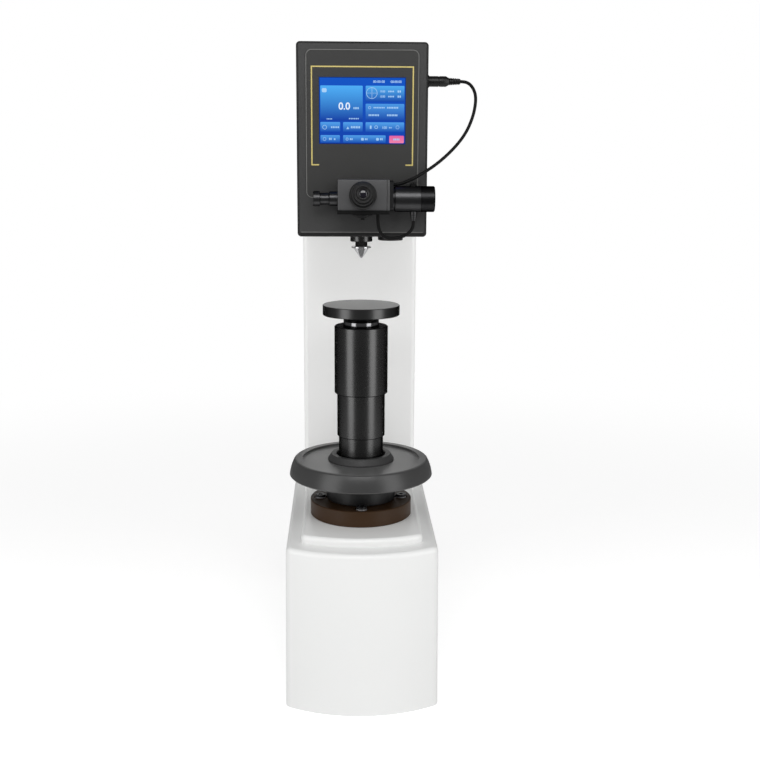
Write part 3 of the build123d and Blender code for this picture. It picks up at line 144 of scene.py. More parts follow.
class Wiring:
    """Node tree whose nodes are added, set and linked in a line each."""

    def __init__(self, tree: bpy.types.NodeTree) -> None:
        """Take the tree that is wired."""
        self.tree = tree

    def feed(self, target: Socket, value: object) -> None:
        """Link an input to a socket or to a node's first output, or set its plain value.

        Args:
            target: the input.
            value: what it gets.
        """
        if isinstance(value, bpy.types.Node):
            value = value.outputs[0]
        if isinstance(value, bpy.types.NodeSocket):
            self.tree.links.new(value, target)
        else:
            target.default_value = value

    def fill(self, node: Node, **inputs: object) -> None:
        """Feed a node's inputs by their names, with _ for a space."""
        for name, value in inputs.items():
            self.feed(node.inputs[name.replace("_", " ")], value)

    def add(self, kind: str, *values: object, **named: object) -> Node:
        """Add a node.

        Args:
            kind: the node's type.
            values: what its first inputs get.
            named: its own settings in lower case, and other inputs with a capital letter.

        Returns:
            The node.
        """
        node = self.tree.nodes.new(kind)
        for name, value in named.items():
            if name.islower():
                setattr(node, name, value)
        for target, value in zip(node.inputs, values):
            self.feed(target, value)
        self.fill(node, **{name: value for name, value in named.items() if not name.islower()})
        return node

    def place(self, kind: str = "Object") -> Socket:
        """Coordinates of the shaded point."""
        return self.add("ShaderNodeTexCoord").outputs[kind]

    def part(self, vector: Socket, axis: str) -> Socket:
        """One coordinate of a vector."""
        return self.add("ShaderNodeSeparateXYZ", vector).outputs[axis]

    def math(self, operation: str, *values: object) -> Socket:
        """Result of an operation on numbers."""
        return self.add("ShaderNodeMath", *values, operation=operation).outputs[0]

    def vector(self, operation: str, *values: object) -> Socket:
        """Result of an operation on vectors."""
        outputs = self.add("ShaderNodeVectorMath", *values, operation=operation).outputs
        return outputs["Value" if operation == "LENGTH" else "Vector"]

    def span(self, value: Socket, *limits: object, **settings: str) -> Socket:
        """Number mapped from its first two limits to 0 and 1, or to the next two."""
        return self.add("ShaderNodeMapRange", value, *limits, **settings).outputs[0]

    def noise(self, **settings: object) -> Socket:
        """Value of a noise pattern."""
        return self.add("ShaderNodeTexNoise", **settings).outputs["Fac"]

    def blend(self, factor: Socket, first: object, second: object, colour: bool = True) -> Socket:
        """Blend of two colours or of two numbers.

        Args:
            factor: 0 for the first, 1 for the second.
            first, second: what is blended.
            colour: whether they are colours.

        Returns:
            The socket with the blend.
        """
        node = self.add("ShaderNodeMix", factor, data_type="RGBA" if colour else "FLOAT")
        start, out = (6, 2) if colour else (2, 0)
        self.feed(node.inputs[start], first)
        self.feed(node.inputs[start + 1], second)
        return node.outputs[out]


class Group(Wiring):
    """Node group with named inputs and outputs."""

    def __init__(self, name: str, kind: str = "ShaderNodeTree") -> None:
        """Make an empty group.

        Args:
            name: the group's name.
            kind: the type of its tree.
        """
        super().__init__(bpy.data.node_groups.new(name, kind))
        self.source = self.add("NodeGroupInput")
        self.sink = self.add("NodeGroupOutput")
        self.values: dict[str, object] = {}

    def socket(self, name: str, kind: str, side: str = "INPUT") -> bpy.types.NodeTreeInterfaceSocket:
        """Add a named socket of a kind."""
        return self.tree.interface.new_socket(name=name, in_out=side, socket_type=f"NodeSocket{kind}")

    def take(self, name: str, value: int | float | tuple[float, ...]) -> Socket:
        """Add a named input with its value.

        Args:
            name: the input's name.
            value: a number, a vector of three or a colour of four.

        Returns:
            The socket that gives it inside the group.
        """
        if isinstance(value, tuple):
            kind = "Vector" if len(value) == 3 else "Color"
        else:
            kind = "Int" if isinstance(value, int) else "Float"
        socket = self.socket(name, kind)
        socket.default_value = value
        self.values[socket.identifier] = value
        return self.source.outputs[name]

    def give(self, name: str, kind: str, value: Socket) -> None:
        """Add a named output and feed it."""
        self.socket(name, kind, "OUTPUT")
        self.feed(self.sink.inputs[name], value)


@cache
def grain_group() -> bpy.types.NodeTree:
    """Fine mottling of a surface: a varied colour, a varied roughness and a height.

    Returns:
        The node group, built once.
    """
    group = Group("fine_grain")
    for name, value in (("Light", (0.5, 0.5, 0.5, 1.0)), ("Dark", (0.4, 0.4, 0.4, 1.0)), ("Scale", 400.0),
                        ("Smoothest", 0.3), ("Roughest", 0.4)):
        group.take(name, value)
    given, place = group.source.outputs, group.place()
    fine = group.noise(Vector=place, Scale=given["Scale"], Detail=3.0)
    broad = group.noise(Vector=place, Scale=9.0, Detail=2.0)
    mottle = group.math("MULTIPLY_ADD", fine, 0.35, group.math("MULTIPLY", broad, 0.65))
    group.give("Color", "Color", group.blend(mottle, given["Dark"], given["Light"]))
    group.give("Roughness", "Float", group.span(mottle, 0.3, 0.7, given["Smoothest"], given["Roughest"]))
    group.give("Height", "Float", fine)
    return group.tree


@cache
def turning_group() -> bpy.types.NodeTree:
    """Fine rings that a lathe leaves round a turned piece's own Z axis.

    Returns:
        The node group, built once.
    """
    rise = 1.37
    group = Group("turning_marks")
    group.take("Vector", (0.0, 0.0, 0.0))
    group.take("Marks per metre", 1400.0)
    given = group.source.outputs
    split = group.add("ShaderNodeSeparateXYZ", given["Vector"]).outputs
    flat = group.add("ShaderNodeCombineXYZ", split["X"], split["Y"])
    along = group.math("MULTIPLY_ADD", split["Z"], rise, group.vector("LENGTH", flat))
    rings = group.noise(noise_dimensions="1D", W=along, Scale=given["Marks per metre"], Detail=2.0)
    group.give("Height", "Float", rings)
    return group.tree


# Finishes


class Surface(Wiring):
    """New material with its surface shader."""

    def __init__(self, name: str) -> None:
        """Make a material.

        Args:
            name: the material's name.
        """
        self.material = bpy.data.materials.new(name)
        self.material.use_nodes = True
        super().__init__(self.material.node_tree)
        self.shader = self.tree.nodes["Principled BSDF"]

    def shade(self, **inputs: object) -> None:
        """Feed the shader's inputs by their names."""
        self.fill(self.shader, **inputs)


@dataclass(frozen=True)
class AnyFinish:
    """What a piece can be finished with."""

    name: str

    def material(self) -> bpy.types.Material:
        """Take the material of this name, or build it where there is none.

        Returns:
            The material.
        """
        if self.name in bpy.data.materials:
            return bpy.data.materials[self.name]
        surface = Surface(self.name)
        self.lay(surface)
        return surface.material

    def lay(self, surface: Surface) -> None:
        """Set the surface's shader."""
        raise NotImplementedError


@dataclass(frozen=True)
class Finish(AnyFinish):
    """Mottled surface of one material, such as enamel, rubber or moulded plastic."""

    light: Colour
    dark: Colour
    smoothest: float = 0.35
    roughest: float = 0.45
    grain: float = 500.0
    relief: float = 0.00002
    metallic: float = 0.0
    specular: float = 0.5
    coat: float = 0.0
    edge_tint: float = 1.0

    def lay(self, surface: Surface) -> None:
        """Set the surface's shader.

        Args:
            surface: the material that it is built in.
        """
        grain = surface.add("ShaderNodeGroup", node_tree=grain_group(), Light=self.light, Dark=self.dark,
                            Scale=self.grain, Smoothest=self.smoothest, Roughest=self.roughest).outputs
        bump = surface.add("ShaderNodeBump", Strength=1.0, Distance=self.relief,
                           Height=self.height(surface, grain["Height"]))
        surface.shade(Base_Color=grain["Color"], Roughness=grain["Roughness"], Metallic=self.metallic,
                      Specular_IOR_Level=self.specular, Specular_Tint=(*(self.edge_tint,) * 3, 1.0),
                      Coat_Weight=self.coat, Coat_Roughness=0.12, Normal=bump)

    def height(self, surface: Surface, grain: Socket) -> Socket:
        """Height of the relief: here that of the grain."""
        return grain


@dataclass(frozen=True)
class TurnedFinish(Finish):
    """Metal with the rings that a lathe leaves about an axis through `centre`."""

    centre: Point = (0.0, 0.0, 0.0)
    axis: Axis = Axis.UP
    marks: float = 1400.0

    def height(self, surface: Surface, grain: Socket) -> Socket:
        """Height of the relief: here that of the turning rings.

        Args:
            surface: the material that it is built in.
            grain: height of the grain, which gives way to the rings.

        Returns:
            The socket with the height.
        """
        own = surface.add("ShaderNodeMapping", vector_type="TEXTURE", Vector=surface.place(),
                          Location=self.centre, Rotation=self.axis.turn().to_euler())
        rings = surface.add("ShaderNodeGroup", node_tree=turning_group(), Vector=own,
                            Marks_per_metre=self.marks)
        return rings.outputs["Height"]


@dataclass(frozen=True)
class EdgedFinish(TurnedFinish):
    """Finish that gives way to another colour past a level, and outside a window in X and Z; the other colour
    is painted light or painted shade.

    Inside a radius about the upright axis is past it.
    """

    along: Along = Along.Y
    level: float = 0.0
    window: tuple[Point, Point] | None = None
    past: Colour = grey(9)
    past_metallic: float = 0.0

    def lay(self, surface: Surface) -> None:
        """Set the surface's shader, then blend into the other colour.

        Args:
            surface: the material that it is built in.
        """
        super().lay(surface)
        place, softness = surface.place(), 0.05 * MM
        if self.along is Along.RADIUS:
            radius = surface.vector("LENGTH", surface.vector("MULTIPLY", place, (1.0, 1.0, 0.0)))
            excess = surface.math("SUBTRACT", self.level, radius)
        else:
            excess = surface.math("SUBTRACT", surface.part(place, self.along.value), self.level)
        if self.window:
            excess = self.outside_window(surface, place, excess)
        beyond = surface.span(excess, -softness, softness)
        first = surface.shader.inputs["Base Color"].links[0].from_socket
        surface.shade(Base_Color=surface.blend(beyond, first, self.past))
        if self.past_metallic != self.metallic:
            surface.shade(Metallic=surface.blend(beyond, self.metallic, self.past_metallic, False))

    def outside_window(self, surface: Surface, place: Socket, excess: Socket) -> Socket:
        """Distance past the level or past the window's nearest side, whichever is more.

        Args:
            surface: the material that it is built in.
            place: Object coordinates.
            excess: distance past the level.

        Returns:
            The socket with that distance.
        """
        low, high = Vector(self.window[0]), Vector(self.window[1])
        offset = surface.vector("ABSOLUTE", surface.vector("SUBTRACT", place, (low + high) / 2))
        beyond = surface.vector("SUBTRACT", offset, (high - low) / 2)
        for side in ("X", "Z"):
            excess = surface.math("MAXIMUM", excess, surface.part(beyond, side))
        return excess


@dataclass(frozen=True)
class LitTile(AnyFinish):
    """Lit area of the display that fades from `top` to `bottom` between two levels."""

    low: float
    high: float
    top: Colour
    bottom: Colour

    def lay(self, surface: Surface) -> None:
        """Set the surface's shader."""
        level = surface.span(surface.part(surface.place(), "Z"), self.low, self.high)
        surface.shade(Emission_Color=surface.blend(level, self.bottom, self.top), Emission_Strength=1.0,
                      Base_Color=(0.005, 0.008, 0.02, 1.0), Roughness=0.12, Specular_IOR_Level=0.3)


@dataclass(frozen=True)
class LensFinish(AnyFinish):
    """Dark coated optical glass."""

    def lay(self, surface: Surface) -> None:
        """Set the surface's shader."""
        sheen = surface.noise(Vector=surface.place(), Scale=60.0)
        surface.shade(Base_Color=surface.blend(sheen, srgb(10, 12, 20), srgb(24, 16, 30)), Roughness=0.04,
                      Coat_Weight=1.0, Coat_Roughness=0.02)


BLACKENED = {"metallic": 1.0, "edge_tint": 0.06}


class Finishes:
    """Every finish of the machine: light and dark colour, least and most rough, grain, relief."""

    CASTING = Finish("light_enamel", srgb(238, 238, 237), srgb(233, 234, 233), 0.30, 0.40, 260.0, 0.00003,
                     specular=0.45, coat=0.25)
    # painted light: a lighter copy of the casting's enamel, which makes up for the shade on the column and
    # head
    LIT_CASTING = replace(CASTING, name="column_enamel_painted_light", light=srgb(251, 251, 250), dark=srgb(248, 248, 247))
    SHEET = Finish("light_sheet_enamel", srgb(236, 236, 235), srgb(229, 230, 229), 0.34, 0.44, 700.0)
    # painted shade: behind its front face and round a border of that face the cover turns near black, for the
    # shade where its rounded edges turn away
    COVER = EdgedFinish("dark_textured_enamel", grey(58), grey(50), 0.42, 0.55, 1800.0, 0.00005,
                        level=-59.9 * MM)
    PANEL = Finish("panel_enamel", srgb(49, 49, 48), srgb(42, 42, 41), 0.50, 0.60, 2200.0, 0.00003)
    # painted highlight: light grey for the bands on the panel's rim and along the cover's foot
    RIM_HIGHLIGHT = Finish("panel_painted_highlight", srgb(116, 116, 114), srgb(100, 100, 98), 0.40, 0.50, 900.0)
    LINE = Finish("yellow_line", srgb(206, 190, 116), srgb(190, 172, 98), 0.45, 0.55, 900.0)
    BLACK = TurnedFinish("black_turned_steel", grey(98), grey(90), 0.24, 0.30, 700.0, 0.000002, **BLACKENED)
    # painted light: above 542 mm the anvil's top face is a lighter plain grey, for the light that falls on it
    # from above
    ANVIL = EdgedFinish("black_anvil_steel", grey(96), grey(88), 0.26, 0.32, 700.0, 0.000002,
                        along=Along.Z, level=542.0 * MM, past=grey(86), **BLACKENED)
    # painted light: inside a radius of 94.2 mm the wheel's top is lighter grey than its rim, for the light
    # that falls on it from above
    WHEEL = EdgedFinish("black_wheel_iron", grey(62), grey(55), 0.28, 0.36, 900.0, 0.000008, specular=0.6,
                        along=Along.RADIUS, level=94.2 * MM, past=grey(86))
    HUB = TurnedFinish("black_hub_iron", grey(60), grey(52), 0.42, 0.52, 900.0, 0.000008, specular=0.35)
    SEAT = TurnedFinish("black_seat_steel", srgb(26, 26, 27), srgb(18, 18, 19), 0.36, 0.46, 700.0, 0.000008)
    # painted highlight: a bright band round the foot of each bolt head, up to the level given; dark above it
    BOLT = EdgedFinish("blackened_bolt", srgb(214, 214, 216), srgb(190, 190, 192), 0.22, 0.32, 900.0,
                       metallic=0.6, along=Along.Z, past=srgb(44, 44, 46), past_metallic=0.4)
    COLLAR = EdgedFinish("collar_steel", srgb(164, 164, 166), srgb(150, 150, 152), 0.10, 0.15, 900.0,
                         0.000003, along=Along.Z, **BLACKENED)
    BROWN = TurnedFinish("brown_lacquer", srgb(64, 41, 18), srgb(50, 32, 14), 0.40, 0.50, 500.0, 0.000008,
                         specular=0.3)
    STEEL = TurnedFinish("ground_steel", srgb(176, 176, 174), srgb(150, 150, 149), 0.22, 0.34, 900.0,
                         0.000006, metallic=1.0)
    CHROME = TurnedFinish("bright_chrome", srgb(222, 222, 224), srgb(206, 206, 209), 0.08, 0.14, 900.0,
                          0.000003, metallic=1.0)
    POLISHED = replace(CHROME, name="polished_steel", light=srgb(232, 232, 234), dark=srgb(220, 220, 222),
                       metallic=0.8)
    BRONZE = TurnedFinish("bronze", srgb(176, 140, 84), srgb(150, 116, 66), 0.26, 0.38, 700.0, 0.000006,
                          metallic=1.0)
    ALLOY = Finish("satin_alloy", srgb(196, 197, 199), srgb(178, 179, 182), 0.30, 0.40, 1400.0, metallic=1.0)
    ANODISED = Finish("black_anodised", srgb(78, 78, 79), srgb(68, 68, 69), 0.36, 0.46, 2200.0, 0.00001)
    DRUM = TurnedFinish("drum_black", srgb(86, 86, 87), srgb(75, 75, 76), 0.30, 0.38, 1600.0, 0.000006,
                        centre=(0.0, -0.083, 0.6913), axis=Axis.RIGHT, **BLACKENED)
    GRIP = replace(DRUM, name="grip_black", light=srgb(56, 56, 57), dark=srgb(48, 48, 49))
    GREY_IRON = Finish("grey_primer", srgb(112, 116, 118), srgb(96, 100, 102), 0.5, 0.62, 800.0, 0.00004)
    BLACK_PLASTIC = Finish("moulded_black", grey(20), grey(13), 0.36, 0.46, 2500.0)
    MATT_BLACK = Finish("matt_black", grey(9), grey(6), 0.50, 0.60, 2500.0, 0.00001, specular=0.2)
    # painted highlight: the strain relief's ribs are lighter than the lead's black rubber, standing in for
    # the highlights on their rims
    RELIEF = Finish("relief_rubber_painted_highlight", grey(36), grey(28), 0.34, 0.44, 2500.0, 0.00001)
    RUBBER = replace(MATT_BLACK, name="lead_sheath", grain=3000.0)
    BOARD = Finish("solder_mask", srgb(20, 92, 48), srgb(14, 76, 40), 0.3, 0.4, 1200.0)
    RED = Finish("red_rocker", srgb(170, 34, 28), srgb(150, 26, 22), 0.22, 0.3, 900.0, coat=0.3)
    LENS = LensFinish("optical_glass")


# Objects and meshes


def put(name: str, data: bpy.types.ID) -> bpy.types.Object:
    """Put a new object in the scene.

    Args:
        name: the object's name.
        data: its mesh, curve, camera or lamp.

    Returns:
        The object.
    """
    thing = bpy.data.objects.new(name, data)
    bpy.context.scene.collection.objects.link(thing)
    return thing


def plain_mesh(carrier: bpy.types.Object) -> Mesh:
    """Mesh of an object's evaluated shape.

    Args:
        carrier: the object, which is removed.

    Returns:
        The mesh.
    """
    graph = bpy.context.evaluated_depsgraph_get()
    mesh = bpy.data.meshes.new_from_object(carrier.evaluated_get(graph))
    bpy.data.objects.remove(carrier)
    return mesh


def dress(data: Mesh | bpy.types.Curve, finish: AnyFinish) -> None:
    """Give a mesh or curve its finish."""
    data.materials.clear()
    data.materials.append(finish.material())


def box_of(name: str) -> tuple[Vector, Vector, Vector, Vector]:
    """Lowest corner, highest corner, middle and size of a node's box."""
    low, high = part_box(name)
    return low, high, (low + high) / 2, high - low


def add_piece(name: str, mesh: Mesh, finish: AnyFinish, slot: str, *replaced: str,
              body: Body = Body.FRAME) -> None:
    """Turn a mesh in its final place into a dressed piece.

    Args:
        name: the piece's name.
        mesh: its mesh, in the machine's frame.
        finish: what it is finished with.
        slot: the name of a material slot; not used.
        replaced: nodes that it stands for.
        body: the body that it moves with.
    """
    mesh.name = name
    mesh.shade_smooth()
    mesh.set_sharp_from_angle(angle=SMOOTH_ANGLE)
    piece = put(name, mesh)
    dress(mesh, finish)
    if replaced:
        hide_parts(*replaced)
    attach(piece, body.value)
    log.info("piece %s rides on %s", name, body.value)


def mesh_from(form: bmesh.types.BMesh, place: Matrix | None = None) -> Mesh:
    """Close a mesh under construction and put it in place.

    Args:
        form: the mesh under construction, which is freed.
        place: where it goes.

    Returns:
        The mesh, with outward faces.
    """
    bmesh.ops.remove_doubles(form, verts=form.verts, dist=MERGE_DISTANCE)
    if place is not None:
        form.transform(place)
    bmesh.ops.recalc_face_normals(form, faces=form.faces)
    mesh = bpy.data.meshes.new("piece")
    form.to_mesh(mesh)
    form.free()
    return mesh


def skin(form: bmesh.types.BMesh, rings: list[Ring], closed: bool = True, around: bool = True) -> None:
    """Lay faces between rings of vertices.

    Args:
        form: the mesh under construction.
        rings: loops with one number of vertices, or poles with a single one.
        closed: whether the last ring meets the first.
        around: whether each ring meets its own start.
    """
    for first, second in zip(rings, rings[1:] + (rings[:1] if closed else [])):
        count = max(len(first), len(second))
        for k in range(count if around else count - 1):
            n = (k + 1) % count
            corners = (first[k % len(first)], first[n % len(first)],
                       second[n % len(second)], second[k % len(second)])
            face = list(dict.fromkeys(corners))
            if len(face) > 2:
                form.faces.new(face)


def circle(radius: float, steps: int) -> Profile:
    """Points of a circle about its centre."""
    angles = [2 * math.pi * k / steps for k in range(steps)]
    return [(radius * math.cos(a), radius * math.sin(a)) for a in angles]


def lathe(profile: Profile, place: Matrix | None = None, steps: int = 96) -> Mesh:
    """Closed turned mesh.

    Args:
        profile: closed loop of (radius, height) points about the piece's own Z axis.
        place: where it goes.
        steps: faces round the axis.

    Returns:
        The mesh.
    """
    form = bmesh.new()
    rings = []
    for radius, height in profile:
        points = circle(radius, steps) if radius > POLE_RADIUS else [(0.0, 0.0)]
        rings.append([form.verts.new((x, y, height)) for x, y in points])
    skin(form, rings)
    return mesh_from(form, place)


def dome(radius: float, rise: float, base: float, steps: int) -> Profile:
    """Profile of a shallow lens.

    Args:
        radius: of its rim.
        rise: of its crown from its flat back.
        base: level of its back.
        steps: segments from rim to crown.

    Returns:
        The closed profile.
    """
    angles = [QUARTER * k / steps for k in range(steps + 1)]
    return [(0.0, base)] + [(radius * math.cos(a), base + rise * math.sin(a)) for a in angles]


def rounded_outline(width: float, height: float, radius: float, steps: int) -> Profile:
    """Rectangle with rounded corners about its centre.

    Args:
        width, height: the sides.
        radius: of the corners.
        steps: segments in a corner.

    Returns:
        Points counter-clockwise.
    """
    points = []
    for corner, (sx, sy) in enumerate(((1, 1), (-1, 1), (-1, -1), (1, -1))):
        cx, cy = sx * (width / 2 - radius), sy * (height / 2 - radius)
        for k in range(steps + 1):
            a = QUARTER * (corner + k / steps)
            points.append((cx + radius * math.cos(a), cy + radius * math.sin(a)))
    return points


def plate(outline: Profile, front: float, back: float, centre_x: float, centre_z: float,
          lip: float = 0.0, hole: Profile | None = None) -> Mesh:
    """Plate that faces the operator, with a bevelled front rim.

    Args:
        outline: points about the centre.
        front, back: the Y of its faces.
        centre_x, centre_z: its centre.
        lip: width of the bevel round the front.
        hole: outline of a hole with as many points as the outline.

    Returns:
        The mesh.
    """
    form = bmesh.new()

    def ring(points: Profile, y: float, inset: float = 0.0) -> Ring:
        """Vertices of an outline at a depth, drawn in towards the centre."""
        verts = []
        for u, v in points:
            keep = 1 - inset / (math.hypot(u, v) or 1.0)
            verts.append(form.verts.new((centre_x + u * keep, y, centre_z + v * keep)))
        return verts

    rings = [ring(outline, back), ring(outline, front + lip), ring(outline, front, lip)]
    if hole:
        rings += [ring(hole, front), ring(hole, back)]
    else:
        form.faces.new(rings[0])
        form.faces.new(rings[-1])
    skin(form, rings, closed=bool(hole))
    return mesh_from(form)


def bevelled_block(low: Point, high: Point, bevel: float, segments: int = 3) -> Mesh:
    """Block with rounded edges.

    Args:
        low, high: opposite corners.
        bevel: radius of the edges.
        segments: faces across each edge.

    Returns:
        The mesh.
    """
    form = bmesh.new()
    bmesh.ops.create_cube(form, size=1.0)
    size = [b - a for a, b in zip(low, high)]
    middle = [(a + b) / 2 for a, b in zip(low, high)]
    form.transform(Matrix.Translation(middle) @ Matrix.Diagonal((*size, 1.0)))
    bmesh.ops.bevel(form, geom=form.edges[:], offset=bevel, segments=segments, profile=0.5, affect="EDGES")
    return mesh_from(form)


def joined(meshes: list[Mesh]) -> Mesh:
    """One mesh out of several.

    Args:
        meshes: what is joined; they are removed.

    Returns:
        The joined mesh.
    """
    form = bmesh.new()
    for mesh in meshes:
        form.from_mesh(mesh)
        bpy.data.meshes.remove(mesh)
    result = bpy.data.meshes.new("piece")
    form.to_mesh(result)
    form.free()
    return result


# Geometry trees for what repeats


class Recipe(Group):
    """Geometry tree with named sizes that ends in plain, finished faces."""

    def __init__(self, name: str) -> None:
        """Make a geometry tree that takes and gives a form.

        Args:
            name: the tree's name.
        """
        super().__init__(name, "GeometryNodeTree")
        for side in ("INPUT", "OUTPUT"):
            self.socket("Geometry", "Geometry", side)

    def moved(self, form: Node, shift: Point | Node) -> Node:
        """A form moved along a vector."""
        return self.add("GeometryNodeTransform", Geometry=form, Translation=shift)

    def end(self, instances: Node, finish: AnyFinish) -> None:
        """Realize the instances and give them their material.

        Args:
            instances: node that gives the instances.
            finish: what they are finished with.
        """
        real = self.add("GeometryNodeRealizeInstances", instances)
        dressed = self.add("GeometryNodeSetMaterial", Geometry=real, Material=finish.material())
        self.feed(self.sink.inputs[0], dressed)

    def bake(self, places: list[Point] | None = None, shift: Matrix | None = None) -> Mesh:
        """Run the tree and return its result as a plain mesh.

        Args:
            places: points that get a copy, where the tree works on some.
            shift: where the result goes.

        Returns:
            The plain mesh.
        """
        base = bpy.data.meshes.new("carrier")
        base.from_pydata(places or [], [], [])
        carrier = put("carrier", base)
        modifier = carrier.modifiers.new("recipe", "NODES")
        modifier.node_group = self.tree
        for identifier, value in self.values.items():
            modifier[identifier] = value
        form = bmesh.new()
        form.from_mesh(plain_mesh(carrier))
        return mesh_from(form, shift)


def ridge_ring(count: int, radius: float, length: float, ridge: float, finish: AnyFinish) -> Recipe:
    """Straight knurl: ridges side by side round a grip.

    Args:
        count: how many ridges.
        radius: of the grip.
        length: of a ridge.
        ridge: half of a ridge's width.
        finish: what the ridges are finished with.

    Returns:
        The recipe; its grip runs along Z from 0.
    """
    recipe = Recipe("straight_knurl")
    around = recipe.add("GeometryNodeMeshCircle", Vertices=recipe.take("Count", count),
                        Radius=recipe.take("Radius", radius))
    depth = recipe.take("Length", length)
    bar = recipe.add("GeometryNodeMeshCylinder", Vertices=4, Radius=recipe.take("Ridge", ridge), Depth=depth)
    lift = recipe.add("ShaderNodeCombineXYZ", Z=recipe.math("MULTIPLY", depth, 0.5))
    outwards = recipe.add("FunctionNodeAlignRotationToVector", axis="X", pivot_axis="Z",
                          Vector=recipe.add("GeometryNodeInputPosition"))
    recipe.end(recipe.add("GeometryNodeInstanceOnPoints", Points=around, Instance=recipe.moved(bar, lift),
                          Rotation=outwards), finish)
    return recipe


@dataclass(frozen=True)
class ScrewSizes:
    """Pan-head screws with a cross recess that hold the covers."""

    head_radius: float = 3.72 * MM
    head_height: float = 2.16 * MM
    shank: float = 2.4 * MM
    shank_radius: float = 1.92 * MM
    recess_length: float = 4.278 * MM
    recess_width: float = 0.8928 * MM
    inset: float = 6.5 * MM
    proud: float = 0.48 * MM

    def recipe(self, turn: Matrix, finish: AnyFinish) -> Recipe:
        """One screw at each point of the carrier.

        Args:
            turn: rotation from upright.
            finish: what they are finished with.

        Returns:
            The recipe.
        """
        recipe = Recipe("cross_recess_screw")
        head = recipe.add("GeometryNodeMeshCylinder", Vertices=32,
                          Radius=recipe.take("Head radius", self.head_radius),
                          Depth=recipe.take("Head height", self.head_height))
        cut = recipe.add("GeometryNodeMeshBoolean", operation="DIFFERENCE", solver="EXACT",
                         Mesh_1=recipe.moved(head, (0.0, 0.0, self.head_height / 2)))
        long, wide = self.recess_length, self.recess_width
        for sides in ((long, wide), (wide, long)):
            slot = recipe.add("GeometryNodeMeshCube", Size=(*sides, self.head_height))
            raised = recipe.moved(slot, (0.0, 0.0, self.head_height * 0.95))
            recipe.fill(cut, Mesh_2=raised)
        stem = recipe.add("GeometryNodeMeshCylinder", Vertices=20,
                          Radius=recipe.take("Shank radius", self.shank_radius),
                          Depth=recipe.take("Shank", self.shank))
        whole = recipe.add("GeometryNodeJoinGeometry", cut)
        recipe.fill(whole, Geometry=recipe.moved(stem, (0.0, 0.0, -self.shank / 2)))
        recipe.end(recipe.add("GeometryNodeInstanceOnPoints", Points=recipe.source.outputs["Geometry"],
                              Instance=whole, Rotation=recipe.take("Turn", tuple(turn.to_euler()))), finish)
        return recipe


# Sub-assemblies


class Assembly:
    """What every sub-assembly shares: the nodes that it dresses."""

    def __init__(self, nodes: dict[str, bpy.types.Object]) -> None:
        """Take the model's nodes by their names."""
        self.nodes = nodes

    def dress(self, finish: AnyFinish, *names: str) -> None:
        """Give nodes their finish.

        Args:
            finish: what they are finished with.
            names: the nodes.
        """
        for name in names:
            dress(self.nodes[name].data, finish)
            log.info("node %s is finished with %s", name, finish.name)

    def build(self) -> None:
        """Dress the nodes and build the finer pieces."""
        raise NotImplementedError


class CastFrame(Assembly):
    """Lower casting, column, head and their sheet covers."""

    screws = ScrewSizes()
    screw_rows = {"rear_cover": 4, "base_panel": 2}

    def build(self) -> None:
        """Dress the castings and covers, and make their screws."""
        self.dress(Finishes.CASTING, "base_casting")
        # painted light: the column and head get the lighter copy of the casting's enamel
        self.dress(Finishes.LIT_CASTING, "column_casting", "head_casting")
        self.dress(Finishes.SHEET, "head_lid", "rear_cover", "base_panel")
        self.dress(Finishes.STEEL, "frame_screws")
        self.make_back_screws()

    def make_back_screws(self) -> None:
        """Cross recesses in the screws of the rear cover and the base's panel."""
        inset, points = self.screws.inset, []
        for name, rows in self.screw_rows.items():
            low, high, _, size = box_of(name)
            for x in (low.x + inset, high.x - inset):
                for k in range(rows):
                    z = low.z + inset + (size.z - 2 * inset) * k / (rows - 1)
                    points.append((x, high.y + self.screws.proud, z))
        heads = self.screws.recipe(Axis.BACK.turn(), Finishes.STEEL).bake(points)
        add_piece("rear_screw_heads", heads, Finishes.STEEL, "steel")


@dataclass(frozen=True)
class FrameLine:
    """Painted line round the screen, and the widths of the painted shade round the cover's edges."""

    half_width: float = 66.5 * MM
    low: float = 733.4 * MM
    high: float = 859.3 * MM
    stroke: float = 1.6 * MM
    stub: float = 10.0 * MM
    # widths of the painted shade on the cover's front face: at its sides and top, and at its foot
    shade_rim: float = 3.0 * MM
    foot_shade_rim: float = 5.4 * MM

    def course(self, inset: float) -> Profile:
        """Course of the line, open along its foot.

        Args:
            inset: distance inside its outer edge.

        Returns:
            Points in X and Z, from the left stub to the right one.
        """
        side, foot, top = self.half_width - inset, self.low + inset, self.high - inset
        end = self.half_width - self.stub
        return [(-end, foot), (-side, foot), (-side, top), (side, top), (side, foot), (end, foot)]


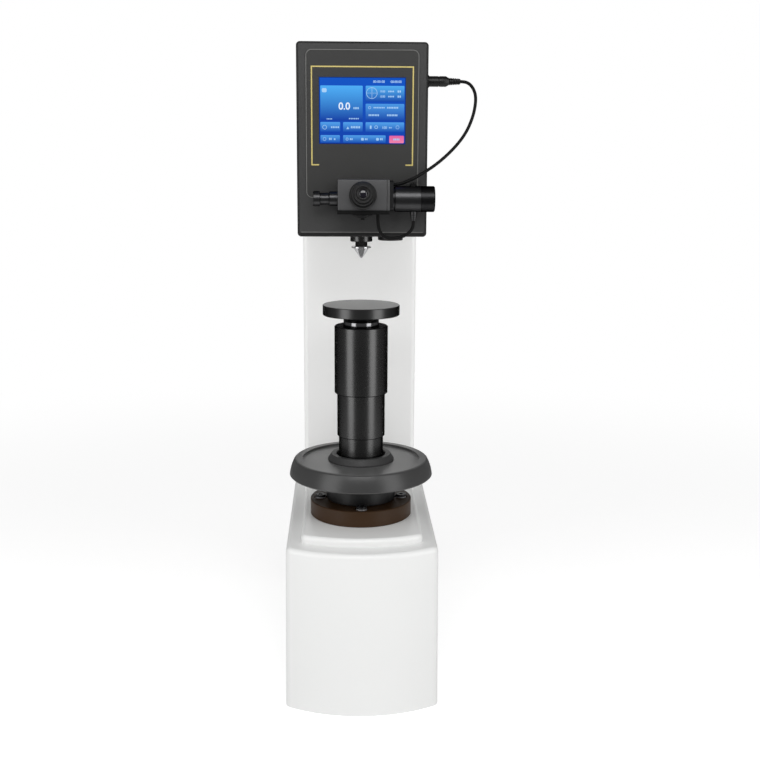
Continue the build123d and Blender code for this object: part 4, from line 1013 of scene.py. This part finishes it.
class FrontCover(Assembly):
    """Dark shell on the head's front with painted shade round its edges, its raised panel with a painted
    highlight round its rim, and the line round the screen.
    """

    line = FrameLine()
    corner = 8.0 * MM
    # width of the painted highlight round the panel's rim
    highlight_band = 0.9 * MM

    def build(self) -> None:
        """Dress the cover and panel, and lay the line and the painted highlights."""
        low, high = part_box("front_cover")
        # painted shade: outside this window the cover's front face is near black
        window = ((low.x + self.line.shade_rim, low.y, low.z + self.line.foot_shade_rim),
                  (high.x - self.line.shade_rim, high.y, high.z - self.line.shade_rim))
        self.dress(replace(Finishes.COVER, window=window), "front_cover")
        self.dress(Finishes.PANEL, "display_panel")
        self.dress(Finishes.BOARD, "control_board")
        self.lay_line()
        self.lay_panel_highlight()
        self.lay_foot_highlight()

    def lay_panel_highlight(self) -> None:
        """Painted highlight: a bright band round the raised panel's rim."""
        low, _, middle, size = box_of("display_panel")
        outline = rounded_outline(size.x, size.z, self.corner, 10)
        inner = rounded_outline(size.x - 2 * self.highlight_band, size.z - 2 * self.highlight_band, self.corner - self.highlight_band, 10)
        mesh = plate(outline, low.y - 0.15 * MM, low.y + 0.3 * MM, middle.x, middle.z, 0.1 * MM, inner)
        add_piece("panel_painted_highlight", mesh, Finishes.RIM_HIGHLIGHT, "dark_paint")

    def lay_foot_highlight(self) -> None:
        """Painted highlight: a bright band along the cover's foot, inside its painted shade."""
        low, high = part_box("front_cover")
        foot = low.z + self.line.foot_shade_rim + 0.3 * MM
        inset = self.line.shade_rim + 2.0 * MM
        mesh = bevelled_block((low.x + inset, low.y - 0.1 * MM, foot),
                              (high.x - inset, low.y + 0.3 * MM, foot + 0.8 * MM), 0.08 * MM, 1)
        add_piece("foot_painted_highlight", mesh, Finishes.RIM_HIGHLIGHT, "dark_paint")

    def lay_line(self) -> None:
        """Line round the screen, open along most of its foot."""
        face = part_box("display_panel")[0].y
        front, back = face - 0.12 * MM, face + 0.05 * MM
        form, stroke = bmesh.new(), self.line.stroke
        section = ((front, 0.0), (back, 0.0), (back, stroke), (front, stroke))
        rings = [[form.verts.new((x, y, z)) for x, z in self.line.course(inset)] for y, inset in section]
        skin(form, rings, around=False)
        for end in (0, -1):
            form.faces.new([ring[end] for ring in rings])
        add_piece("panel_line", mesh_from(form), Finishes.LINE, "dark_paint")


@dataclass(frozen=True)
class Tile:
    """Lit tile of the display: its sides from the screen's top left corner, in millimetres."""

    name: str
    left: float
    top: float
    right: float
    bottom: float
    bright: tuple[int, int, int]
    deep: tuple[int, int, int]


class MarkShape(Enum):
    """Shapes of the small marks on the display."""

    STROKES = "strokes"
    BADGE = "badge"
    POLE = "pole"
    RING = "ring"
    WEDGE = "wedge"


class Display(Assembly):
    """Touch screen with a plain layout of tiles, marks and numbers.

    A mark's row holds its place from the screen's top left corner, its width and its height, or a
    ring's stroke, in millimetres. A number's row holds its digits, place and height.
    """

    ROW = ((80, 160, 234), (6, 72, 174))
    FOOT = ((78, 156, 230), (8, 74, 176))
    TILES = [
        Tile("main", 1.8, 10.6, 56.6, 54.8, (76, 172, 244), (2, 56, 160)),
        Tile("upper_right", 60.4, 10.6, 110.6, 30.6, (80, 172, 240), (4, 66, 168)),
        Tile("middle_right", 60.4, 33.2, 110.6, 54.8, (72, 150, 226), (2, 60, 164)),
        Tile("row_left", 1.8, 56.6, 27.4, 69.0, *ROW),
        Tile("row_middle", 31.2, 56.6, 56.6, 69.0, *ROW),
        Tile("row_right", 60.4, 56.6, 110.6, 69.0, *ROW),
        Tile("foot_left", 1.8, 73.2, 27.0, 82.8, *FOOT),
        Tile("foot_middle", 31.2, 73.2, 86.6, 82.8, *FOOT),
        Tile("foot_right", 91.4, 73.6, 110.4, 83.0, (226, 96, 158), (240, 128, 168)),
    ]
    MARKS = {
        MarkShape.STROKES: [
            (44.4, 40.2, 7.4, 2.6), (9.6, 53.4, 7.6, 1.5), (38.4, 53.0, 13.4, 1.7), (61.4, 20.1, 14.6, 0.5),
            (89.4, 18.6, 8.0, 2.0), (89.4, 25.0, 8.0, 2.0), (101.4, 19.0, 5.0, 2.8), (101.4, 25.4, 5.0, 2.8),
            (70.4, 39.0, 15.0, 1.8), (88.0, 39.2, 15.0, 2.2), (64.0, 48.8, 14.0, 2.4),
            (88.0, 48.8, 14.0, 2.4), (15.2, 64.2, 11.0, 2.2), (41.0, 64.4, 12.6, 2.8),
            (90.6, 64.2, 4.0, 1.6), (12.6, 79.4, 3.8, 2.8), (18.8, 79.4, 2.8, 2.2), (39.8, 79.4, 4.0, 2.4),
            (59.4, 79.4, 3.8, 2.4), (79.0, 79.4, 4.0, 2.8), (96.4, 79.6, 8.6, 2.6),
        ],
        MarkShape.BADGE: [(3.8, 19.2, 6.2, 5.2), (66.0, 65.0, 2.2, 4.2), (54.6, 79.9, 3.6, 3.4),
                          (74.2, 79.9, 3.6, 3.4)],
        MarkShape.POLE: [(68.3, 26.8, 0.5, 14.0)],
        MarkShape.RING: [(68.4, 19.8, 14.4, 0.6), (65.6, 38.2, 3.6, 0.5), (7.2, 63.2, 5.6, 0.6),
                         (74.2, 62.8, 4.4, 0.7), (102.0, 62.8, 4.6, 0.5), (7.0, 78.2, 4.4, 0.5),
                         (36.4, 78.2, 3.6, 0.6)],
        MarkShape.WEDGE: [(35.4, 65.4, 3.8, 3.2)],
    }
    READING = ("0.0", 25.2, 40.6, 9.0)
    NUMBERS = [("00-00-00", 70.0, 6.8, 3.0), ("00:00:00", 92.6, 6.8, 3.0), ("0.00", 79.4, 18.8, 2.6),
               ("0.00", 79.4, 25.2, 2.6), ("100", 81.6, 64.8, 3.2)]

    def __init__(self, nodes: dict[str, bpy.types.Object]) -> None:
        """Measure the screen.

        Args:
            nodes: the model's nodes by their names.
        """
        super().__init__(nodes)
        self.low, self.high, self.middle, self.size = box_of("touch_glass")
        self.face = self.low.y

    def build(self) -> None:
        """Light the screen and lay its rim, tiles and marks."""
        self.dress(self.lit("screen_ground", (2, 80, 192), (2, 60, 168)), "touch_glass")
        self.dress(Finishes.BLACK_PLASTIC, "display_module")
        self.lay_rim()
        for tile in self.TILES:
            self.lay_tile(tile)
        self.lay_marks()

    def lit(self, name: str, top: tuple[int, int, int], bottom: tuple[int, int, int]) -> LitTile:
        """Finish that fades over the whole screen."""
        return LitTile(name, self.low.z, self.high.z, srgb(*top), srgb(*bottom))

    def lay_rim(self) -> None:
        """Dark rim printed round the lit area."""
        stroke = 0.9 * MM
        outline = rounded_outline(self.size.x, self.size.z, stroke, 3)
        inner = rounded_outline(self.size.x - 2 * stroke, self.size.z - 2 * stroke, 0.5 * MM, 3)
        mesh = plate(outline, self.face - 0.04 * MM, self.face + 0.02 * MM, self.middle.x, self.middle.z,
                     hole=inner)
        add_piece("screen_rim", mesh, self.lit("screen_edge", (2, 44, 118), (2, 36, 104)), "screen")

    def lay_tile(self, tile: Tile) -> None:
        """Lay one tile on the screen.

        Args:
            tile: the tile.
        """
        width, height = (tile.right - tile.left) * MM, (tile.bottom - tile.top) * MM
        high = self.high.z - tile.top * MM
        finish = LitTile(f"lit_{tile.name}", high - height, high, srgb(*tile.bright), srgb(*tile.deep))
        mesh = plate(rounded_outline(width, height, 1.0 * MM, 4), self.face - 0.06 * MM,
                     self.face + 0.02 * MM, self.low.x + tile.left * MM + width / 2, high - height / 2)
        add_piece(f"screen_{tile.name}", mesh, finish, "screen")

    def lay_marks(self) -> None:
        """Lay the large reading in white and every other mark in pale blue."""
        marks = [mesh for shape, rows in self.MARKS.items() for row in rows
                 for mesh in self.mark_meshes(shape, *row)]
        marks += [self.numerals(*row) for row in self.NUMBERS]
        for name, meshes, top, bottom in (
            ("reading", [self.numerals(*self.READING)], (236, 244, 255), (220, 234, 254)),
            ("marks", marks, (172, 210, 246), (158, 200, 240)),
        ):
            add_piece(f"screen_{name}", joined(meshes), self.lit(f"lit_{name}", top, bottom), "screen")

    def mark_meshes(self, shape: MarkShape, x: float, y: float, width: float, height: float) -> list[Mesh]:
        """Meshes of one mark, just in front of the tiles.

        Args:
            shape: its shape.
            x, y: its place from the screen's top left corner, in millimetres.
            width, height: its width, and its height or a ring's stroke, in millimetres.

        Returns:
            Its meshes.
        """
        strokes = max(1, round(width / 2.1))
        front, back = self.face - 0.10 * MM, self.face - 0.02 * MM
        x, z = self.low.x + x * MM, self.high.z - y * MM
        width, height = width * MM, height * MM
        if shape is MarkShape.RING:
            return [plate(circle(width / 2, 32), front, back, x, z, hole=circle(width / 2 - height, 32))]
        if shape is MarkShape.WEDGE:
            outline = [(width / 2, 0.0), (0.0, height), (-width / 2, 0.0)]
            return [plate(outline, front, back, x + width / 2, z)]
        whole = {MarkShape.BADGE: (1, 1.0, 4), MarkShape.POLE: (1, 1.0, 2)}
        count, share, corner_steps = whole.get(shape, (strokes, 0.72, 2))
        step = width / count
        outline = rounded_outline(step * share, height, min(step * share, height) * 0.3, corner_steps)
        return [plate(outline, front, back, x + step * (k + 0.5), z + height / 2) for k in range(count)]

    def numerals(self, text: str, x: float, y: float, height: float) -> Mesh:
        """Plain raised numbers that face the operator.

        Args:
            text: digits and separators.
            x, y: their lower left corner, from the screen's top left corner, in millimetres.
            height: of a digit, in millimetres.

        Returns:
            The mesh.
        """
        curve = bpy.data.curves.new("numerals", "FONT")
        curve.body = text
        curve.size = height * MM / 0.72
        curve.extrude = 0.02 * MM
        curve.offset = height * MM * 0.028
        mesh = plain_mesh(put("numerals", curve))
        corner = (self.low.x + x * MM, self.face - 0.08 * MM, self.high.z - y * MM)
        mesh.transform(Matrix.Translation(corner) @ Matrix.Rotation(QUARTER, 4, "X"))
        return mesh


class ElevatingGear(Assembly):
    """Handwheel, nut, screw, telescopic sleeves and anvil."""

    # height of the painted highlight at the foot of each bolt head
    bolt_highlight_height = 1.0 * MM
    collar_shadow = 3.2 * MM

    def build(self) -> None:
        """Dress the turned pieces."""
        flange_top, collar_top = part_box("seat_flange")[1].z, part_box("screw_collar")[1].z
        self.dress(Finishes.BROWN, "seat_flange")
        self.dress(replace(Finishes.BOLT, level=flange_top + self.bolt_highlight_height), "seat_bolts")
        self.dress(Finishes.SEAT, "bearing_seat")
        self.dress(Finishes.WHEEL, "handwheel")
        self.dress(Finishes.HUB, "hub_ring")
        self.dress(Finishes.BLACK, "neck_sleeve", "middle_sleeve", "upper_sleeve")
        self.dress(Finishes.ANVIL, "anvil")
        self.dress(replace(Finishes.COLLAR, level=collar_top - self.collar_shadow), "screw_collar")
        self.dress(Finishes.STEEL, "elevating_screw", "thrust_bearing", "upper_race")
        self.dress(Finishes.BRONZE, "elevating_nut", "screw_guide")


class LoadingGear(Assembly):
    """Spindle, indenter, lever and drive unit."""

    SPINDLE_STROKE = 2.6 * MM

    def build(self) -> None:
        """Dress the loading gear and give its return spring a mesh of its own."""
        self.dress(Finishes.BLACK, "indenter_holder")
        self.dress(Finishes.POLISHED, "indenter", "indenter_ball")
        self.dress(Finishes.STEEL, "spindle", "return_spring", "pivot_pin", "drive_screw", "push_rod")
        self.dress(Finishes.BRONZE, "spindle_bush")
        self.dress(Finishes.GREY_IRON, "main_lever", "fulcrum_block")
        self.dress(Finishes.ALLOY, "drive_bracket", "load_cell", "power_supply")
        self.dress(Finishes.ANODISED, "drive_motor")
        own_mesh(self.nodes["return_spring"])


@dataclass(frozen=True)
class OcularSizes:
    """Ocular, about its own axis from the eyepiece's front face."""

    level: float = 696.0 * MM
    tilt: float = math.radians(8.0)
    flange_radius: float = 17.6 * MM
    flange_length: float = 7.0 * MM
    flange_chamfer: float = 1.4 * MM
    ring_radius: float = 14.8 * MM
    ring_start: float = 7.3 * MM
    ring_length: float = 12.0 * MM
    barrel_radius: float = 11.5 * MM
    length: float = 27.0 * MM
    bore: float = 8.0 * MM
    lens: float = 5.6 * MM
    lens_depth: float = 4.4 * MM

    def place(self) -> Matrix:
        """Frame at the eyepiece's front whose Z axis runs out along the ocular."""
        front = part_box("eyepiece_box")[0].y
        return (Matrix.Translation((0.0, front, self.level))
                @ Matrix.Rotation(QUARTER - self.tilt, 4, "X"))


class Microscope(Assembly):
    """Measuring eyepiece with its drum, knobs, key, ocular and objective."""

    ocular = OcularSizes()
    drum_y = -83.0 * MM
    drum_level = 691.3 * MM
    drum_radius = 16.7 * MM

    def build(self) -> None:
        """Dress the microscope and build its finer pieces."""
        self.dress(Finishes.ANODISED, "microscope_body")
        self.dress(Finishes.DRUM, "encoder_housing", "left_knob")
        self.dress(Finishes.GRIP, "drum_knob")
        self.dress(Finishes.BLACK_PLASTIC, "objective")
        self.dress(Finishes.MATT_BLACK, "eyepiece_shelf", "clamp_knob")
        self.make_case()
        self.make_ocular()
        self.make_focus_ring()
        self.make_drum_knurl()
        self.make_key()
        self.make_left_knurl()
        self.make_objective_glass()

    def make_case(self) -> None:
        """Eyepiece's housing with a separate end plate on its right, and the dark seam between."""
        low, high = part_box("eyepiece_box")
        split, sunk = high.x - 3.4 * MM, 1.2 * MM
        case = bevelled_block(low, (split - 0.25 * MM, high.y, high.z), 0.9 * MM)
        end = bevelled_block((split, low.y, low.z), high, 0.7 * MM)
        seam = bevelled_block((split - 0.6 * MM, low.y + sunk, low.z + sunk),
                              (split + 0.4 * MM, high.y - sunk, high.z - sunk), 0.1 * MM, 1)
        for name, mesh, finish in (("case", case, Finishes.ANODISED), ("end_plate", end, Finishes.ANODISED),
                                   ("seam", seam, Finishes.BLACK_PLASTIC)):
            add_piece(f"eyepiece_{name}", mesh, finish, "alloy_black", "eyepiece_box")

    def make_ocular(self) -> None:
        """Flange, barrel and eye lens."""
        o, place = self.ocular, self.ocular.place()
        lens_level, foot_radius = o.length - o.lens_depth, o.flange_radius - 0.6 * MM
        body = [
            (0.0, 0.6 * MM), (o.flange_radius, 0.6 * MM),
            (o.flange_radius, o.flange_length - o.flange_chamfer),
            (o.flange_radius - o.flange_chamfer, o.flange_length), (o.barrel_radius, o.flange_length),
            (o.barrel_radius, o.length - 0.8 * MM), (o.barrel_radius - 0.8 * MM, o.length),
            (o.bore + 1.2 * MM, o.length), (o.bore + 0.6 * MM, o.length - 0.7 * MM),
            (o.bore, o.length - 3.0 * MM), (o.lens + 0.8 * MM, lens_level + 0.2 * MM),
            (o.lens, lens_level), (0.0, lens_level),
        ]
        foot = [(0.0, -3.0 * MM), (foot_radius, -3.0 * MM), (foot_radius, 0.8 * MM), (0.0, 0.8 * MM)]
        add_piece("ocular_body", joined([lathe(body, place), lathe(foot, place)]), Finishes.BLACK_PLASTIC,
                  "alloy_black", "ocular_barrel")
        add_piece("eye_lens", lathe(dome(o.lens, 1.8 * MM, lens_level, 8), place, 48), Finishes.LENS,
                  "alloy_black", "ocular_barrel")

    def make_focus_ring(self) -> None:
        """Knurled ring that turns on the ocular's barrel."""
        o, place, finish = self.ocular, self.ocular.place(), Finishes.BLACK_PLASTIC
        start, end, radius = o.ring_start, o.ring_start + o.ring_length, o.ring_radius
        bore = o.barrel_radius + 0.08 * MM
        ring = [
            (bore, start), (radius - 0.9 * MM, start), (radius - 0.9 * MM, end - 2.2 * MM),
            (radius - 0.3 * MM, end - 2.0 * MM), (radius - 0.3 * MM, end - 1.2 * MM),
            (radius - 1.5 * MM, end), (bore, end),
        ]
        ridges = ridge_ring(72, radius - 0.8 * MM, o.ring_length - 3.4 * MM, 0.55 * MM, finish)
        knurl = ridges.bake(shift=place @ Matrix.Translation((0.0, 0.0, start + 0.7 * MM)))
        add_piece("focus_ring", joined([lathe(ring, place), knurl]), finish, "alloy_black", "dioptre_ring",
                  body=Body.FOCUS)

    def make_drum_knurl(self) -> None:
        """Fine ridges on the grip of the measuring drum."""
        length = 13.0 * MM
        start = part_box("drum_knob")[1].x - 2.0 * MM - length
        ridges = ridge_ring(96, self.drum_radius - 0.42 * MM, length, 0.4 * MM, Finishes.GRIP)
        add_piece("drum_knurl", ridges.bake(shift=self.across(start)), Finishes.GRIP, "alloy",
                  body=Body.DRUM)

    def make_left_knurl(self) -> None:
        """Fine ridges on the end of the left knob."""
        low, _, _, size = box_of("left_knob")
        ridges = ridge_ring(48, size.z / 2 - 0.35 * MM, 7.0 * MM, 0.34 * MM, Finishes.DRUM)
        add_piece("left_knob_knurl", ridges.bake(shift=self.across(low.x + 1.2 * MM)), Finishes.DRUM,
                  "alloy_black", body=Body.LINE_KNOB)

    def across(self, x: float) -> Matrix:
        """Frame on the drum's axis whose Z axis points to the right."""
        return Matrix.Translation((x, self.drum_y, self.drum_level)) @ Axis.RIGHT.turn()

    def make_key(self) -> None:
        """Key with three ridges on the encoder."""
        low, high, centre, size = box_of("read_button")
        radius, crown, edge = size.x / 2, high.z - 1.0 * MM, 0.5 * MM
        half_width, half_length = 0.6 * MM, 3.4 * MM
        body = [(0.0, low.z), (radius, low.z), (radius, crown - edge), (radius - edge, crown), (0.0, crown)]
        place = Matrix.Translation((centre.x, centre.y, 0.0))
        ridges = [
            bevelled_block((x - half_width, centre.y - half_length, crown - 0.3 * MM),
                           (x + half_width, centre.y + half_length, high.z + 1.4 * MM), 0.3 * MM, 2)
            for x in (centre.x - 2.6 * MM, centre.x, centre.x + 2.6 * MM)
        ]
        add_piece("key_cap", joined([lathe(body, place, 48), *ridges]), Finishes.MATT_BLACK,
                  "plastic_black", "read_button", body=Body.KEY)

    def make_objective_glass(self) -> None:
        """Front lens of the objective."""
        low, _, middle, _ = box_of("objective")
        place = Matrix.Translation((middle.x, 0.0, low.z + 2.6 * MM))
        add_piece("objective_lens", lathe(dome(7.6 * MM, -1.6 * MM, 0.0, 6), place, 40), Finishes.LENS,
                  "alloy_black")


class Leads(Assembly):
    """Two soft leads with the plug and socket at their ends."""

    RADIUS = 2.1 * MM
    DISPLAY_ROUTE = [
        (0.0393, -0.0760, 0.7096), (0.0475, -0.0760, 0.7096), (0.0578, -0.0754, 0.7133),
        (0.0735, -0.0724, 0.7206), (0.0985, -0.0665, 0.7365), (0.1210, -0.0580, 0.7565),
        (0.1370, -0.0505, 0.7765), (0.1463, -0.0445, 0.7980), (0.1495, -0.0413, 0.8145),
        (0.1493, -0.0402, 0.8256), (0.1458, -0.0400, 0.8340), (0.1409, -0.0400, 0.8394),
        (0.1348, -0.0400, 0.8420), (0.1288, -0.0400, 0.8420),
    ]
    ENCODER_ROUTE = [
        (0.0665, -0.0830, 0.6636), (0.0665, -0.0830, 0.6565), (0.0630, -0.0832, 0.6494),
        (0.0559, -0.0835, 0.6438), (0.0453, -0.0838, 0.6408), (0.0333, -0.0840, 0.6404),
        (0.0262, -0.0840, 0.6441), (0.0215, -0.0840, 0.6512), (0.0200, -0.0840, 0.6618),
        (0.0200, -0.0840, 0.6724),
    ]

    def build(self) -> None:
        """Lay both leads and dress what they end in."""
        self.dress(Finishes.BLACK_PLASTIC, "display_socket")
        self.lay("display_lead_sheath", self.DISPLAY_ROUTE, "display_lead", 0.2056)
        self.lay("encoder_lead_sheath", self.ENCODER_ROUTE, "encoder_lead", 0.0841)
        self.make_plug()
        self.make_relief()

    def lay(self, name: str, route: list[Point], node: str, length: float) -> None:
        """Lay one lead along its route.

        Args:
            name: the piece's name.
            route: control points of its line.
            node: the node that it stands for.
            length: its real length; not used.
        """
        curve = bpy.data.curves.new(name, "CURVE")
        curve.dimensions = "3D"
        curve.bevel_depth = self.RADIUS
        curve.bevel_resolution = 6
        curve.resolution_u = 12
        curve.use_fill_caps = True
        spline = curve.splines.new("NURBS")
        spline.points.add(len(route) - 1)
        for point, place in zip(spline.points, route):
            point.co = (*place, 1.0)
        spline.order_u = 3
        spline.use_endpoint_u = True
        dress(curve, Finishes.RUBBER)
        piece = put(name, curve)
        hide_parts(node)
        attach(piece, Body.FRAME.value)
        log.info("lead %s laid", name)

    def make_plug(self) -> None:
        """Plug with a grooved grip and a ribbed strain relief."""
        low, _, middle, size = box_of("lead_plug")
        place = Matrix.Translation((low.x, middle.y, middle.z)) @ Axis.RIGHT.turn()
        r, groove, ribs = size.z / 2, size.z / 2 - 0.4 * MM, 6
        profile = [
            (0.0, 0.0), (r, 0.0), (r, 12.0 * MM), (groove, 12.3 * MM), (groove, 13.4 * MM),
            (r, 13.7 * MM), (r, 22.0 * MM), (4.9 * MM, 25.3 * MM), (4.7 * MM, 26.0 * MM),
        ]
        for k in range(ribs):
            z, outer = (26.6 + 2.3 * k) * MM, (4.7 - 0.14 * k) * MM
            inner = outer - 0.8 * MM
            profile += [(inner, z), (outer, z + 0.5 * MM), (outer, z + 1.5 * MM), (inner, z + 2.0 * MM)]
        profile += [(3.7 * MM, size.x - 0.6 * MM), (2.9 * MM, size.x), (0.0, size.x)]
        add_piece("plug_body", lathe(profile, place, 64), Finishes.BLACK_PLASTIC, "plastic_black",
                  "lead_plug")

    def make_relief(self) -> None:
        """Ribs round the strain relief under the encoder."""
        x, y, bottom = self.ENCODER_ROUTE[0]
        rings = []
        for k in range(3):
            z, r = bottom + (1.3 + 2.6 * k) * MM, (3.95 + 0.4 * k) * MM
            inner, top = r - 1.2 * MM, z + 1.2 * MM
            profile = [(inner, z), (r, z), (r + 0.12 * MM, z + 0.6 * MM), (r, top), (inner, top)]
            rings.append(lathe(profile, Matrix.Translation((x, y, 0.0)), 40))
        add_piece("relief_ribs", joined(rings), Finishes.RELIEF, "plastic_black")


class MainsPanel(Assembly):
    """Mains inlet and switch on the base's back."""

    BLADES = ((-7.0, -2.0), (0.0, 3.0), (7.0, -2.0))

    def build(self) -> None:
        """Dress the inlet and switch, and make the inlet's blades."""
        self.dress(Finishes.BLACK_PLASTIC, "mains_inlet", "switch_frame")
        self.dress(Finishes.RED, "switch_rocker")
        self.make_blades()

    def make_blades(self) -> None:
        """Bright blades in the inlet."""
        low, _, middle, _ = box_of("mains_inlet")
        blades = []
        for dx, dz in self.BLADES:
            x, z = middle.x + dx * MM, middle.z + dz * MM
            blades.append(bevelled_block((x - 1.1 * MM, low.y + 4.1 * MM, z - 2.1 * MM),
                                         (x + 1.1 * MM, low.y + 14.4 * MM, z + 2.1 * MM), 0.3 * MM, 2))
        add_piece("inlet_blades", joined(blades), Finishes.CHROME, "plastic_black")


# Studio


@dataclass(frozen=True)
class Studio:
    """Camera, lamps, backdrop and floor."""

    focal_pixels: float = 1120.0
    sensor: float = 36.0
    position: Point = (-0.0269, -1.554, 0.7482)
    pitch: float = 11.4
    yaw: float = 1.98
    roll: float = 0.30
    strip_size: tuple[float, float] = (0.9, 2.0)
    strip_angle: float = math.radians(50.0)
    strip_distance: float = 1.7
    strip_height: float = 0.78
    strip_power: float = 9.9
    strip_aim: Point = (0.0, 0.0, 0.5)
    top_size: tuple[float, float] = (1.2, 0.7)
    top_place: Point = (0.0, -1.25, 1.55)
    top_power: float = 8.6
    top_aim: Point = (0.0, -0.08, 0.3)
    sky: float = 0.48
    room: float = 0.10
    backdrop_edge: tuple[float, float] = (0.96, 0.998)
    floor_size: float = 40.0
    floor_apron: float = 0.75
    floor_lift: float = 0.42
    floor_fade: tuple[float, float] = (0.5, 2.2)

    def build(self) -> None:
        """Set up the camera, lamps, world and floor."""
        self.make_camera()
        for side in (-1, 1):
            place = (side * self.strip_distance * math.sin(self.strip_angle),
                     -self.strip_distance * math.cos(self.strip_angle), self.strip_height)
            self.make_lamp("strip", self.strip_size, self.strip_power, place, self.strip_aim)
        self.make_lamp("top", self.top_size, self.top_power, self.top_place, self.top_aim)
        self.make_world()
        self.make_floor()
        bpy.context.scene.view_settings.view_transform = "Standard"

    def make_camera(self) -> None:
        """Camera at the photograph's viewpoint."""
        data = bpy.data.cameras.new("camera")
        data.sensor_width = self.sensor
        data.lens = self.focal_pixels / PHOTO_SIDE * self.sensor
        camera = put("camera", data)
        camera.matrix_world = (
            Matrix.Translation(self.position)
            @ Matrix.Rotation(math.radians(-self.yaw), 4, "Z")
            @ Matrix.Rotation(math.radians(90.0 - self.pitch), 4, "X")
            @ Matrix.Rotation(math.radians(self.roll), 4, "Z")
        )
        bpy.context.scene.camera = camera

    def make_lamp(self, name: str, size: tuple[float, float], power: float, place: Point, aim: Point) -> None:
        """Soft lamp.

        Args:
            name: the lamp's name.
            size: its sides.
            power: its power in watts.
            place: where it stands.
            aim: what it points at.
        """
        data = bpy.data.lights.new(name, "AREA")
        data.shape = "RECTANGLE"
        data.size, data.size_y = size
        data.energy = power
        lamp = put(name, data)
        lamp.location = place
        lamp.rotation_euler = (Vector(aim) - Vector(place)).to_track_quat("-Z", "Y").to_euler()

    def backdrop(self, wires: Wiring, direction: Socket) -> Socket:
        """White behind the machine, with a dim room round it in reflections.

        Args:
            wires: the tree that it is built in.
            direction: seen from the machine, with a length of 1.

        Returns:
            The socket with the backdrop's strength.
        """
        return wires.span(wires.part(direction, "Y"), *self.backdrop_edge, self.room, 1.0,
                          interpolation_type="SMOOTHSTEP")

    def make_world(self) -> None:
        """Even sky that shows as white and lights more gently than it shows."""
        world = bpy.data.worlds.new("studio")
        bpy.context.scene.world = world
        world.use_nodes = True
        world.cycles.sampling_method = "NONE"
        wires = Wiring(world.node_tree)
        path = wires.add("ShaderNodeLightPath").outputs
        seen = wires.math("MAXIMUM", path["Is Camera Ray"], path["Is Glossy Ray"])
        through = wires.math("MAXIMUM", seen, path["Is Transmission Ray"])
        behind = self.backdrop(wires, wires.place("Generated"))
        white = wires.math("MAXIMUM", behind, path["Is Camera Ray"])
        wires.fill(wires.tree.nodes["Background"], Color=WHITE,
                   Strength=wires.blend(through, self.sky, white, colour=False))

    def make_floor(self) -> None:
        """Pale floor that fades into the white backdrop and keeps the machine's shadow."""
        form = bmesh.new()
        bmesh.ops.create_grid(form, x_segments=8, y_segments=8, size=self.floor_size / 2)
        mesh = mesh_from(form, Matrix.Translation((0.0, self.floor_size / 2 - self.floor_apron, 0.0)))
        floor = put("floor", mesh)
        surface = Surface("floor")
        path, place = surface.add("ShaderNodeLightPath").outputs, surface.place()
        lift = surface.math("MULTIPLY", path["Is Camera Ray"], self.floor_lift)
        surface.shade(Base_Color=(0.86, 0.86, 0.86, 1.0), Roughness=0.9, Specular_IOR_Level=0.0,
                      Emission_Color=WHITE, Emission_Strength=lift)
        behind = self.backdrop(surface, surface.vector("NORMALIZE", place))
        glow = surface.add("ShaderNodeEmission",
                           Strength=surface.blend(path["Is Glossy Ray"], 1.0, behind, colour=False))
        fade = surface.span(surface.vector("LENGTH", place), *self.floor_fade,
                            interpolation_type="SMOOTHSTEP")
        mixed = surface.add("ShaderNodeMixShader", fade, surface.shader, glow)
        surface.fill(surface.tree.nodes["Material Output"], Surface=mixed)
        mesh.materials.append(surface.material)


def main() -> None:
    """Build the machine's sub-assemblies in order and set the studio round them."""
    logging.basicConfig(level=logging.INFO, format="%(name)s: %(message)s")
    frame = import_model()
    nodes = frame["nodes"]
    Studio().build()
    assemblies = (Leads, CastFrame, FrontCover, Display, ElevatingGear, LoadingGear, Microscope, MainsPanel)
    for assembly in assemblies:
        assembly(nodes).build()
        log.info("%s built", assembly.__name__)


if __name__ == "__main__":
    main()
